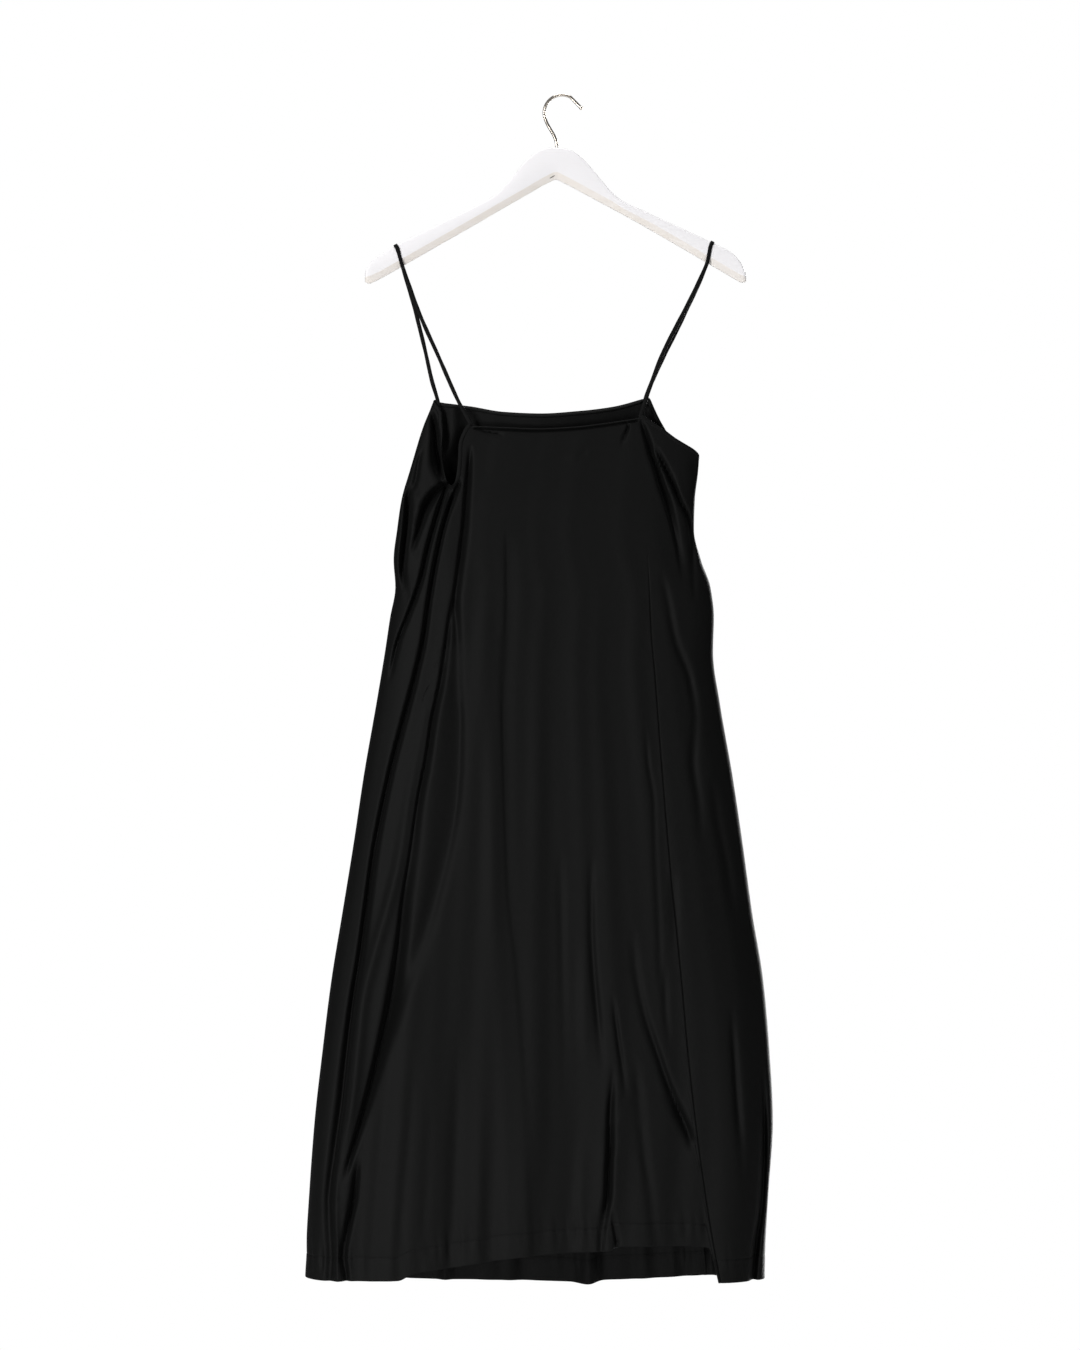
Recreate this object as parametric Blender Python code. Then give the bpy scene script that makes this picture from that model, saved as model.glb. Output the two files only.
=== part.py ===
"""Black slip dress hanging on a flat white wooden hanger, modelled in metres, +Z up.

The origin is the inner top of the hook, where a rail carries it. +X is to the right and
the front of the dress looks along -Y. Sizes below are in millimetres.

The dress is one tube of cloth. A ring goes round it at each height: turn 0 to 1 is the
front from its left side to its right side, turn 1 to 2 is the back from right to left.
Folds are troughs and ridges laid over the ring, and the panels are cut from it at the seams.
"""
import math
from collections import namedtuple

import bmesh
import bpy
import numpy as np

MM = 0.001

# Cloth and sewing
WALL = 1.5
SEAM_GAP = 0.3
CLEARANCE = 0.3
SIDE_ROUNDING = 4.0

# Grid of a panel: its rows are closer at the top, and shares of its columns are drawn to
# the steep stretches of its top edge and to its folds.
PANEL_ROWS = 29
ROW_SPREAD = 1.3
EDGE_PULL = 0.4
FOLD_PULL = 0.3
COLUMN_PROBES = 400
HEIGHT_PROBES = 12
PROBE_TURN = 0.001
PROBE_HEIGHT = 0.5

# Armhole binding: how far it stands past the cut edge, and its thickness
BINDING_WIDTH = 3.6
BINDING_THICKNESS = 2.2

# Straps: how far they are tucked behind the edge, how soon a stretch leaves the dress's
# slope for the hanger's face, and how they turn over the hanger's rounded top edge
STRAP_WIDTH = 4.6
STRAP_THICKNESS = 1.2
STRAP_TUCK = 9.0
STRAP_LAYER = CLEARANCE + STRAP_THICKNESS / 2
STRAP_RISE = 1.6
STRAP_FOOT = 5.0
STRAP_TURN_LOW = 2.2
STRAP_TURN_OUT = 0.8
STRAP_TURN_DOWN = 0.6
STRAP_TURN_IN = 2.6

# Hanger: its wide chamfer below and the small rounding of its top edges
HANGER_HALF = 6.0
HANGER_STATIONS = 34
HANGER_STATION_GAP = 2.0
HANGER_CHAMFER_HEIGHT = 8.5
HANGER_CHAMFER_SHARE = 0.45
HANGER_CHAMFER_DEPTH = 3.6
HANGER_EDGE = 1.6
HANGER_EDGE_SHARE = 0.2
HANGER_EDGE_REACH = 2.2
HANGER_EDGE_CUT = 0.6

# Hook: a ball on its tip, a straight run to the bow, an arc and a stem into the hanger
HOOK_WIRE_RADIUS = 1.8
HOOK_TIP_X = 22.5
HOOK_TIP_Z = -13.6
HOOK_BALL_X = -0.6
HOOK_BALL_Z = 0.7
HOOK_BOW_RADIUS = 20.5
HOOK_BOW_START = 62.0
HOOK_BOW_END = 196.0
HOOK_ARC_STEPS = 18
HOOK_STEM_STEPS = 10
HOOK_STEM_PULL = 15.0
HOOK_FOOT_X = -6.0

# The tube at each height: its left and right side, and how far its front and back stand
# from the hanger's plane.
Level = namedtuple("Level", "z left right front back")
LEVELS = (
    Level(-1375, -296, 233, 58, 62),
    Level(-1330, -295, 234, 57, 61),
    Level(-1260, -291, 238, 55, 59),
    Level(-1180, -285, 243, 52, 57),
    Level(-1100, -276, 239, 50, 55),
    Level(-1020, -266, 232, 48, 53),
    Level(-940, -253, 219, 46, 50),
    Level(-860, -240, 208, 43, 47),
    Level(-780, -228, 196, 40, 44),
    Level(-700, -214, 182, 36, 40),
    Level(-640, -204, 174, 34, 37),
    Level(-600, -198, 175, 32, 35),
    Level(-565, -192, 171, 31, 33),
    Level(-534, -194, 160, 29, 31),
    Level(-499, -190, 152, 26, 28),
    Level(-465, -185, 153, 23, 25),
    Level(-430, -175, 157, 18, 20),
    Level(-413, -170, 158, 16, 18),
    Level(-396, -165, 158, 14, 16),
    Level(-378, -159, 157, 12, 14),
    Level(-361, -152, 156, 10, 12),
    Level(-345, -146, 155, 9, 11),
)

# Seams run from the strap ends down to the hem: x of each on the front and on the back.
Seams = namedtuple("Seams", "z front_left front_right back_left back_right")
SEAMS = (
    Seams(-1375, -266, 184, -248, 168),
    Seams(-1300, -263, 170, -240, 162),
    Seams(-1240, -252, 161, -232, 157),
    Seams(-1180, -233, 153, -224, 152),
    Seams(-1100, -212.5, 144, -213, 147),
    Seams(-1020, -195.5, 137, -202, 142),
    Seams(-940, -184, 130, -191, 137),
    Seams(-860, -171.5, 124, -179, 131),
    Seams(-780, -159, 118, -167, 125),
    Seams(-700, -146, 113, -156, 119),
    Seams(-660, -131, 109, -151, 116),
    Seams(-620, -112, 105, -147, 113),
    Seams(-540, -100, 99, -143, 107),
    Seams(-460, -103, 93, -143, 101),
    Seams(-380, -104, 90, -143, 97),
    Seams(-345, -104, 88, -143, 95),
)

# Cut edges. A row says on which side of the tube a point of the edge lies, and where.
Edge = namedtuple("Edge", "side x z")
NECK_FRONT = (
    Edge("front", -104, -380), Edge("front", -70, -383), Edge("front", -30, -385),
    Edge("front", 12, -383), Edge("front", 52, -377), Edge("front", 90, -371),
)
NECK_BACK = (
    Edge("back", 96, -348), Edge("back", 60, -359), Edge("back", 20, -364),
    Edge("back", -25, -367), Edge("back", -70, -366), Edge("back", -110, -358),
    Edge("back", -143, -352),
)
ARMHOLE_RIGHT = (
    Edge("front", 90, -371), Edge("front", 100, -378), Edge("front", 114, -387),
    Edge("front", 128, -397), Edge("front", 146, -407), Edge("side", 158, -417),
    Edge("back", 146, -407), Edge("back", 122, -395), Edge("back", 110, -378),
    Edge("back", 101, -361), Edge("back", 96, -348),
)
ARMHOLE_LEFT = (
    Edge("back", -143, -352), Edge("side", -149, -354), Edge("front", -143, -362),
    Edge("front", -140, -385), Edge("front", -139, -420), Edge("front", -134, -444),
    Edge("front", -125, -452), Edge("front", -118, -440), Edge("front", -113, -402),
    Edge("front", -104, -380),
)
HEM_FRONT = (
    Edge("front", -266, -1360), Edge("front", -176, -1359), Edge("front", -150, -1350),
    Edge("front", -53, -1338), Edge("front", 62, -1329), Edge("front", 128, -1327),
    Edge("front", 166, -1330), Edge("front", 184, -1361),
)
HEM_RIGHT = (Edge("front", 184, -1361), Edge("side", 233, -1361), Edge("back", 168, -1362))
HEM_BACK = (
    Edge("back", 168, -1362), Edge("back", 50, -1364), Edge("back", -71, -1364),
    Edge("back", -187, -1361), Edge("back", -248, -1361),
)
HEM_LEFT = (Edge("back", -248, -1361), Edge("side", -296, -1359), Edge("front", -266, -1360))

# Folds: x at even steps of height from top to end, half width at both, how far the cloth
# moves (a trough is negative), and the shares of its length over which it comes and goes.
# A fold that goes away over 0 runs out of the hem.
Fold = namedtuple("Fold", "side top end line narrow wide push comes goes")
FOLDS = (
    # left of the front, from the armhole down
    Fold("front", -356, -447, (-149, -147, -143), 4.5, 5.0, -9.0, 0.2, 0.2),
    Fold("front", -450, -680, (-144, -153, -173, -194), 7.0, 9.0, -11.0, 0.15, 0.4),
    Fold("front", -447, -1375, (-121, -166, -221, -253, -266), 8.0, 11.0, -18.0, 0.08, 0.0),
    Fold("front", -400, -720, (-108, -112, -119, -122, -130), 7.0, 9.0, -8.0, 0.2, 0.4),
    Fold("front", -583, -1240, (-121, -153, -178, -205, -248), 8.0, 15.0, -19.0, 0.35, 0.12),
    Fold("front", -640, -1200, (-146, -170, -195, -222, -246), 8.0, 9.0, 8.0, 0.3, 0.2),
    Fold("front", -1225, -1375, (-234, -239, -248, -247), 8.0, 10.0, -14.0, 0.35, 0.0),
    Fold("front", -700, -1040, (-124, -124, -140, -178), 16.0, 18.0, -7.0, 0.4, 0.4),
    # middle of the front
    Fold("front", -500, -1375, (-86, -85, -80, -72, -66), 15.0, 20.0, 6.0, 0.3, 0.0),
    Fold("front", -520, -1375, (-64, -56, -42, -30, -22), 13.0, 18.0, -7.0, 0.3, 0.0),
    Fold("front", -860, -1375, (-5, -1, 4, 6), 13.0, 18.0, -6.0, 0.5, 0.0),
    Fold("front", -870, -1110, (40, 35, 38, 45), 12.0, 13.0, -7.0, 0.4, 0.4),
    Fold("front", -1080, -1375, (57, 56, 51, 46), 9.0, 12.0, -13.0, 0.35, 0.0),
    Fold("front", -1080, -1375, (-172, -184, -192), 15.0, 20.0, 6.0, 0.5, 0.0),
    Fold("front", -1060, -1375, (-118, -123, -128), 15.0, 18.0, -6.0, 0.5, 0.0),
    # right of the front
    Fold("front", -1020, -1240, (84, 108, 130, 152), 11.0, 12.0, -10.0, 0.4, 0.3),
    Fold("front", -1130, -1375, (86, 96, 108, 116), 13.0, 16.0, -7.0, 0.4, 0.0),
    Fold("front", -358, -600, (95, 105, 126, 158), 6.0, 8.0, -7.0, 0.1, 0.4),
    Fold("front", -405, -530, (108, 127, 153), 6.0, 7.0, -5.0, 0.3, 0.4),
    Fold("front", -560, -820, (112, 136, 158, 174), 10.0, 13.0, -6.0, 0.4, 0.5),
    Fold("front", -990, -1240, (191, 196, 201, 205), 11.0, 12.0, -8.0, 0.4, 0.4),
    Fold("front", -1090, -1375, (235, 232, 228, 222), 8.0, 11.0, -14.0, 0.3, 0.0),
    # back
    Fold("back", -380, -900, (80, 92, 112, 130), 9.0, 14.0, -9.0, 0.2, 0.4),
    Fold("back", -470, -1375, (126, 150, 170, 184), 10.0, 15.0, -14.0, 0.2, 0.0),
    Fold("back", -520, -1375, (40, 58, 78, 96), 13.0, 20.0, -11.0, 0.3, 0.0),
    Fold("back", -500, -1375, (-10, -2, 6, 16), 14.0, 22.0, 9.0, 0.4, 0.0),
    Fold("back", -600, -1375, (-56, -54, -64, -60), 13.0, 20.0, -12.0, 0.4, 0.0),
    Fold("back", -380, -860, (-128, -116, -120, -134), 9.0, 14.0, -8.0, 0.2, 0.4),
    Fold("back", -450, -1375, (-140, -158, -182, -206), 10.0, 15.0, -15.0, 0.2, 0.0),
    Fold("back", -900, -1375, (-110, -118, -130, -136), 13.0, 17.0, -10.0, 0.4, 0.0),
)

Panel = namedtuple("Panel", "name starts ends top hem columns")
PANELS = (
    Panel("front_panel", "front_left", "front_right", NECK_FRONT, HEM_FRONT, 50),
    Panel("side_panel_right", "front_right", "back_right", ARMHOLE_RIGHT, HEM_RIGHT, 22),
    Panel("back_panel", "back_right", "back_left", NECK_BACK, HEM_BACK, 32),
    Panel("side_panel_left", "back_left", "front_left", ARMHOLE_LEFT, HEM_LEFT, 22),
)

# Straps: a strip's middle line in front of the hanger and behind it, down to the dress.
Point = namedtuple("Point", "x z")
STRAPS = {
    "strap_left": {
        "over": -191.5,
        "front": (Point(-184, -195), Point(-163, -253), Point(-143, -298), Point(-120, -350)),
        "front_end": ("front_left", -104, -380),
        "back": (Point(-184, -195), Point(-172, -236), Point(-159, -287), Point(-150, -327)),
        "back_end": ("back_left", -143, -352),
    },
    "strap_right": {
        "over": 173.0,
        "front": (Point(166, -195), Point(141, -247), Point(116, -296), Point(98, -345)),
        "front_end": ("front_right", 90, -371),
        "back": (Point(166, -195), Point(143, -247), Point(119, -296), Point(103, -330)),
        "back_end": ("back_right", 96, -348),
    },
}

# Hanger: its top and underside along x.
Rail = namedtuple("Rail", "x top bottom")
HANGER = (
    Rail(-227, -203, -214), Rail(-222, -193, -216), Rail(-210, -183, -210.5),
    Rail(-195, -174, -202), Rail(-140, -146.5, -170.5), Rail(-94.5, -124, -144.5),
    Rail(-77, -114, -134.3), Rail(-60, -97, -124.5), Rail(-40, -73, -113),
    Rail(-22, -61, -102.5), Rail(-9, -59, -96), Rail(-5, -59, -96), Rail(8, -61.5, -102.5),
    Rail(20, -68.5, -109), Rail(32, -80.5, -115.5), Rail(44, -95, -122),
    Rail(57, -110, -129), Rail(70, -120.5, -136), Rail(90, -130, -147),
    Rail(130, -148.5, -170), Rail(177, -170.5, -197.5), Rail(195, -180, -208),
    Rail(206, -192, -214.5), Rail(212, -204, -214),
)

# The wire's thickness along the tip: share of the way to the bow, and share of its radius.
Tip = namedtuple("Tip", "share radius")
HOOK_TIP = (Tip(0.14, 1.25), Tip(0.22, 1.0), Tip(0.5, 1.0), Tip(0.85, 1.0))
HOOK_BALL_RADII = (0.7, 1.15)


def rows(table, column):
    """One column of a table as an array."""
    return np.array([getattr(row, column) for row in table], dtype=float)


def smooth(at, value, where):
    """Read a table on a smooth curve that never goes past its rows."""
    run = np.diff(at)
    rise = np.diff(value) / run
    slope = np.zeros(len(at))
    slope[0] = rise[0]
    slope[-1] = rise[-1]
    before = rise[:-1]
    after = rise[1:]
    both = before + after
    agrees = before * after > 0
    slope[1:-1] = np.where(agrees, 2 * before * after / np.where(agrees, both, 1.0), 0.0)
    step = np.clip(np.searchsorted(at, where) - 1, 0, len(run) - 1)
    share = np.clip((where - at[step]) / run[step], 0.0, 1.0)
    square = share * share
    cube = square * share
    return (
        (2 * cube - 3 * square + 1) * value[step]
        + (cube - 2 * square + share) * run[step] * slope[step]
        + (3 * square - 2 * cube) * value[step + 1]
        + (cube - square) * run[step] * slope[step + 1]
    )


def level(column, z):
    """A column of the tube's table at a height."""
    return smooth(rows(LEVELS, "z"), rows(LEVELS, column), z)


def ease(share):
    """Run softly from 0 to 1."""
    held = np.clip(share, 0.0, 1.0)
    return held * held * (3 - 2 * held)


def fold_push(side, x, z):
    """How far the folds of one side move the cloth outwards."""
    push = np.zeros_like(x)
    for fold in FOLDS:
        if fold.side != side:
            continue
        along = np.clip((fold.top - z) / (fold.top - fold.end), 0.0, 1.0)
        steps = np.linspace(0.0, 1.0, len(fold.line))
        line = smooth(steps, np.array(fold.line, dtype=float), along)
        width = fold.narrow + (fold.wide - fold.narrow) * along
        strength = ease(along / fold.comes)
        if fold.goes > 0:
            strength = strength * ease((1 - along) / fold.goes)
        push = push + fold.push * strength * np.exp(-((x - line) / width) ** 2)
    return push


def ring(turn, z):
    """Points of the dress's outer face, in millimetres, at turns round it and heights."""
    left = level("left", z)
    right = level("right", z)
    across = -np.cos(math.pi * turn)
    x = (left + right) / 2 + across * (right - left) / 2
    round_off = np.sqrt(np.maximum(1 - np.abs(across) ** SIDE_ROUNDING, 0.0))
    in_front = np.sin(math.pi * turn) > 0
    forward = level("front", z) + fold_push("front", x, z)
    backward = level("back", z) + fold_push("back", x, z)
    y = np.where(in_front, -forward, backward) * round_off
    return np.stack([x, y, z + 0 * x], axis=-1)


def outward(turn, z):
    """Unit vectors that point out of the cloth."""
    round_it = ring(turn + PROBE_TURN, z) - ring(turn - PROBE_TURN, z)
    up_it = ring(turn, z + PROBE_HEIGHT) - ring(turn, z - PROBE_HEIGHT)
    normal = np.cross(round_it, up_it)
    return normal / np.linalg.norm(normal, axis=-1, keepdims=True)


def turn_at(side, x, z):
    """The turn of a point given by its x on one side of the tube."""
    left = level("left", z)
    right = level("right", z)
    across = np.clip((2 * x - left - right) / (right - left), -1.0, 1.0)
    turn = np.arccos(-across) / math.pi
    return turn if side == "front" else 2 - turn


def seam_turn(name, z):
    """The turn of a seam at heights; the left front seam counts on past a full turn."""
    side = "front" if name.startswith("front") else "back"
    x = smooth(rows(SEAMS, "z"), rows(SEAMS, name), z)
    return turn_at(side, x, z)


def panel_seams(panel, z):
    """The turns of a panel's two seams, the second after the first."""
    starts = seam_turn(panel.starts, z)
    ends = seam_turn(panel.ends, z)
    return starts, ends + 2 * (ends < starts)


def edge_heights(panel, table, shares):
    """Heights of a cut edge at shares of the way across its panel."""
    places = []
    heights = []
    for row in table:
        z = np.array(float(row.z))
        starts, ends = panel_seams(panel, z)
        if row.side == "side":
            turn = np.array(1.0 if row.x > 0 else 2.0)
        else:
            turn = turn_at(row.side, row.x, z)
        turn = turn + 2 * (turn < starts - 0.02)
        places.append(float(np.clip((turn - starts) / (ends - starts), 0.0, 1.0)))
        heights.append(row.z)
    places[0] = 0.0
    places[-1] = 1.0
    return smooth(np.array(places), np.array(heights, dtype=float), shares)


def panel_turn(panel, shares, z):
    """The turns at shares of the way across a panel."""
    starts, ends = panel_seams(panel, z)
    return starts + (ends - starts) * shares


def run_share(steps):
    """Steps added up and scaled to run from 0 to 1."""
    run = np.concatenate([[0.0], np.cumsum(steps)])
    return run / run[-1]


def column_shares(panel):
    """Shares of a panel's columns, closer at folds and where its top edge is steep."""
    fine = np.linspace(0.0, 1.0, COLUMN_PROBES)
    top = edge_heights(panel, panel.top, fine)
    hem = edge_heights(panel, panel.hem, fine)
    edge = ring(panel_turn(panel, fine, top), top)
    along_edge = run_share(np.linalg.norm(np.diff(edge, axis=0), axis=1))
    in_and_out = np.zeros(COLUMN_PROBES - 1)
    for drop in np.linspace(0.0, 1.0, HEIGHT_PROBES):
        z = top + (hem - top) * drop
        in_and_out += np.abs(np.diff(ring(panel_turn(panel, fine, z), z)[:, 1]))
    even = 1 - EDGE_PULL - FOLD_PULL
    spread = even * fine + EDGE_PULL * along_edge + FOLD_PULL * run_share(in_and_out)
    return np.interp(np.linspace(0.0, 1.0, panel.columns + 1), spread, fine)


def panel_grid(panel):
    """Turns and heights of a panel's grid, kept off its seams by half a gap."""
    shares = column_shares(panel)
    top = edge_heights(panel, panel.top, shares)
    hem = edge_heights(panel, panel.hem, shares)
    drop = np.linspace(0.0, 1.0, PANEL_ROWS + 1) ** ROW_SPREAD
    z = top[:, None] + (hem - top)[:, None] * drop[None, :]
    turn = panel_turn(panel, shares[:, None], z)
    speed = np.linalg.norm(ring(turn + PROBE_TURN, z) - ring(turn - PROBE_TURN, z), axis=-1)
    inset = SEAM_GAP / 2 * 2 * PROBE_TURN / speed
    turn[0] += inset[0]
    turn[-1] -= inset[-1]
    return turn, z


def material(name, colour, roughness, metallic=0.0):
    """A plain material."""
    made = bpy.data.materials.new(name)
    made.use_nodes = True
    shader = made.node_tree.nodes["Principled BSDF"]
    shader.inputs["Base Color"].default_value = (*colour, 1.0)
    shader.inputs["Roughness"].default_value = roughness
    shader.inputs["Metallic"].default_value = metallic
    return made


def add_mesh(name, points, faces, finish):
    """An object from points in millimetres and faces, with its faces turned outwards."""
    mesh = bpy.data.meshes.new(name)
    mesh.from_pydata([tuple(float(c) * MM for c in point) for point in points], [], faces)
    shape = bmesh.new()
    shape.from_mesh(mesh)
    bmesh.ops.recalc_face_normals(shape, faces=shape.faces)
    bmesh.ops.triangulate(shape, faces=shape.faces)
    shape.to_mesh(mesh)
    shape.free()
    mesh.materials.append(finish)
    mesh.shade_smooth()
    mesh.set_sharp_from_angle(angle=math.radians(40))
    part = bpy.data.objects.new(name, mesh)
    bpy.context.scene.collection.objects.link(part)
    return part


def add_wall(name, outer, inner, finish):
    """A closed wall between two grids of points of the same shape."""
    across, down = outer.shape[:2]
    count = across * down
    points = np.concatenate([outer.reshape(-1, 3), inner.reshape(-1, 3)])
    faces = []
    for i in range(across - 1):
        for j in range(down - 1):
            a = i * down + j
            corners = (a, a + 1, a + down + 1, a + down)
            faces.append(corners)
            faces.append(tuple(count + c for c in reversed(corners)))
    rim = [i * down for i in range(across)]
    rim += [(across - 1) * down + j for j in range(1, down)]
    rim += [i * down + down - 1 for i in range(across - 2, -1, -1)]
    rim += [j for j in range(down - 2, 0, -1)]
    for a, b in zip(rim, rim[1:] + rim[:1]):
        faces.append((a, b, count + b, count + a))
    return add_mesh(name, points, faces, finish)


def add_sections(name, sections, finish):
    """A closed solid through sections with the same number of points."""
    size = len(sections[0])
    points = np.concatenate(sections)
    faces = [tuple(range(size)), tuple(range(len(points) - size, len(points)))]
    for k in range(len(sections) - 1):
        for i in range(size):
            j = (i + 1) % size
            a = k * size
            faces.append((a + i, a + j, a + size + j, a + size + i))
    return add_mesh(name, points, faces, finish)


def add_panel(panel, finish):
    """A panel of the dress as a wall of cloth."""
    turn, z = panel_grid(panel)
    outer = ring(turn, z)
    inner = outer - WALL * outward(turn, z)
    return add_wall(panel.name, outer, inner, finish)


def add_binding(name, panel, finish):
    """The binding that stands on a side panel's armhole edge."""
    shares = column_shares(panel)[1:-1]
    z = edge_heights(panel, panel.top, shares)
    turn = panel_turn(panel, shares, z)
    normal = outward(turn, z)
    middle = ring(turn, z) - normal * WALL / 2
    along = np.gradient(middle, axis=0)
    along /= np.linalg.norm(along, axis=1, keepdims=True)
    off_edge = np.cross(normal, along)
    off_edge /= np.linalg.norm(off_edge, axis=1, keepdims=True)
    sections = []
    for place, out, off in zip(middle, normal, off_edge):
        half = out * BINDING_THICKNESS / 2
        near = off * CLEARANCE
        far = off * (CLEARANCE + BINDING_WIDTH)
        sections.append(np.array([
            place + near + half, place + far + half, place + far - half, place + near - half,
        ]))
    return add_sections(name, sections, finish)


def hanger_top(x):
    """Height of the hanger's top at places along it."""
    return smooth(rows(HANGER, "x"), rows(HANGER, "top"), x)


def strap_end(seam, x, z):
    """The point where a strap is sewn behind the edge, and its way out of the cloth."""
    side = "front" if seam.startswith("front") else "back"
    turn = turn_at(side, x, np.array(float(z)))
    out = outward(turn, np.array(float(z)))
    return ring(turn, np.array(float(z))) - out * (WALL + STRAP_LAYER), out


def strap_route(sizes):
    """The strap's middle points from its front end over the hanger to its back end."""
    face = HANGER_HALF + STRAP_LAYER
    edges = np.array([sizes["over"] - STRAP_WIDTH / 2, sizes["over"] + STRAP_WIDTH / 2])
    low, high = hanger_top(edges)
    tilt = math.atan2(high - low, STRAP_WIDTH)
    up = np.array([-math.sin(tilt), 0.0, math.cos(tilt)])
    crest = np.array([sizes["over"], 0.0, hanger_top(sizes["over"])])
    route = []
    for side, names in ((-1, ("front", "front_end")), (1, ("back", "back_end"))):
        end, out = strap_end(*sizes[names[1]])
        facing = np.array([0.0, float(side), 0.0])
        deep = np.array([end[0], end[1], end[2] - STRAP_TUCK])
        half = [(deep, out), (end, out)]
        stretch = list(sizes[names[0]])
        for point in reversed(stretch):
            risen = (point.z - end[2]) / (stretch[0].z - end[2])
            y = end[1] + (side * face - end[1]) * min(1.0, risen * STRAP_RISE)
            half.append((np.array([point.x, y, point.z]), facing))
        half.append((crest + facing * face - up * STRAP_FOOT, facing))
        half.append((crest + facing * face + up * (STRAP_LAYER - STRAP_TURN_LOW), facing))
        bend = (facing + up) * math.sqrt(0.5)
        turned = facing * (face - STRAP_TURN_OUT) + up * (STRAP_LAYER - STRAP_TURN_DOWN)
        half.append((crest + turned, bend))
        half.append((crest + facing * (face - STRAP_TURN_IN) + up * STRAP_LAYER, up))
        route.append(half)
    return route[0] + route[1][::-1]


def add_strap(name, sizes, finish):
    """A strap as one flat strip."""
    route = strap_route(sizes)
    places = np.array([place for place, _ in route])
    along = np.gradient(places, axis=0)
    sections = []
    for (place, out), way in zip(route, along):
        way = way / np.linalg.norm(way)
        width = np.cross(way, out)
        width /= np.linalg.norm(width)
        thick = np.cross(width, way)
        wide = width * STRAP_WIDTH / 2
        half = thick * STRAP_THICKNESS / 2
        sections.append(np.array([
            place + wide + half, place - wide + half, place - wide - half, place + wide - half,
        ]))
    return add_sections(name, sections, finish)


def hanger_section(x, top, bottom):
    """The hanger's section at one place along it: round on top, chamfered below."""
    height = top - bottom
    chamfer = min(HANGER_CHAMFER_HEIGHT, height * HANGER_CHAMFER_SHARE)
    edge = min(HANGER_EDGE, height * HANGER_EDGE_SHARE)
    reach = edge * HANGER_EDGE_REACH
    cut = edge * HANGER_EDGE_CUT
    half = [
        (HANGER_HALF - HANGER_CHAMFER_DEPTH, bottom), (HANGER_HALF, bottom + chamfer),
        (HANGER_HALF, top - reach), (HANGER_HALF - cut, top - cut), (HANGER_HALF - reach, top),
    ]
    outline = half + [(-y, z) for y, z in reversed(half)]
    return np.array([(x, y, z) for y, z in outline])


def add_hanger(finish):
    """The flat wooden hanger, through sections along it."""
    x_rows = rows(HANGER, "x")
    share = np.linspace(0.0, 1.0, HANGER_STATIONS + 1)
    places = np.union1d(x_rows[0] + share * (x_rows[-1] - x_rows[0]), x_rows)
    spaced = np.concatenate([[True], np.diff(places) > HANGER_STATION_GAP])
    spaced[-1] = True
    places = places[spaced]
    top = hanger_top(places)
    bottom = np.interp(places, x_rows, rows(HANGER, "bottom"))
    sections = [hanger_section(*row) for row in zip(places, top, bottom)]
    return add_sections("hanger", sections, finish)


def hook_route():
    """Points of the hook's wire from its tip over the bow to the stem's foot, with radii."""
    centre_z = HOOK_WIRE_RADIUS - HOOK_BOW_RADIUS
    start = math.radians(HOOK_BOW_START)
    lead_x = HOOK_BOW_RADIUS * math.cos(start)
    lead_z = centre_z + HOOK_BOW_RADIUS * math.sin(start)
    route = [
        (HOOK_TIP_X, HOOK_TIP_Z, HOOK_BALL_RADII[0]),
        (HOOK_TIP_X + HOOK_BALL_X, HOOK_TIP_Z + HOOK_BALL_Z, HOOK_BALL_RADII[1]),
    ]
    for tip in HOOK_TIP:
        x = HOOK_TIP_X + (lead_x - HOOK_TIP_X) * tip.share
        z = HOOK_TIP_Z + (lead_z - HOOK_TIP_Z) * tip.share
        route.append((x, z, tip.radius))
    for angle in np.radians(np.linspace(HOOK_BOW_START, HOOK_BOW_END, HOOK_ARC_STEPS + 1)):
        x = HOOK_BOW_RADIUS * math.cos(angle)
        z = centre_z + HOOK_BOW_RADIUS * math.sin(angle)
        route.append((x, z, 1.0))
    last = math.radians(HOOK_BOW_END)
    start_x, start_z = route[-1][:2]
    foot_z = hanger_top(HOOK_FOOT_X) + CLEARANCE
    xs = (start_x, start_x - HOOK_STEM_PULL * math.sin(last), HOOK_FOOT_X, HOOK_FOOT_X)
    zs = (start_z, start_z + HOOK_STEM_PULL * math.cos(last), foot_z + HOOK_STEM_PULL, foot_z)
    for t in np.linspace(0.0, 1.0, HOOK_STEM_STEPS + 1)[1:]:
        weights = ((1 - t) ** 3, 3 * t * (1 - t) ** 2, 3 * t * t * (1 - t), t ** 3)
        x = sum(w * c for w, c in zip(weights, xs))
        z = sum(w * c for w, c in zip(weights, zs))
        route.append((x, z, 1.0))
    return route


def add_hook(finish):
    """The wire hook, a curve with a round section and closed ends."""
    curve = bpy.data.curves.new("hook", "CURVE")
    curve.dimensions = "3D"
    curve.bevel_depth = HOOK_WIRE_RADIUS * MM
    curve.bevel_resolution = 3
    curve.resolution_u = 1
    curve.render_resolution_u = 0
    curve.use_fill_caps = True
    route = hook_route()
    spline = curve.splines.new("POLY")
    spline.points.add(len(route) - 1)
    for point, (x, z, radius) in zip(spline.points, route):
        point.co = (x * MM, 0.0, z * MM, 1.0)
        point.radius = radius
    curve.materials.append(finish)
    part = bpy.data.objects.new("hook", curve)
    bpy.context.scene.collection.objects.link(part)
    return part


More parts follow.
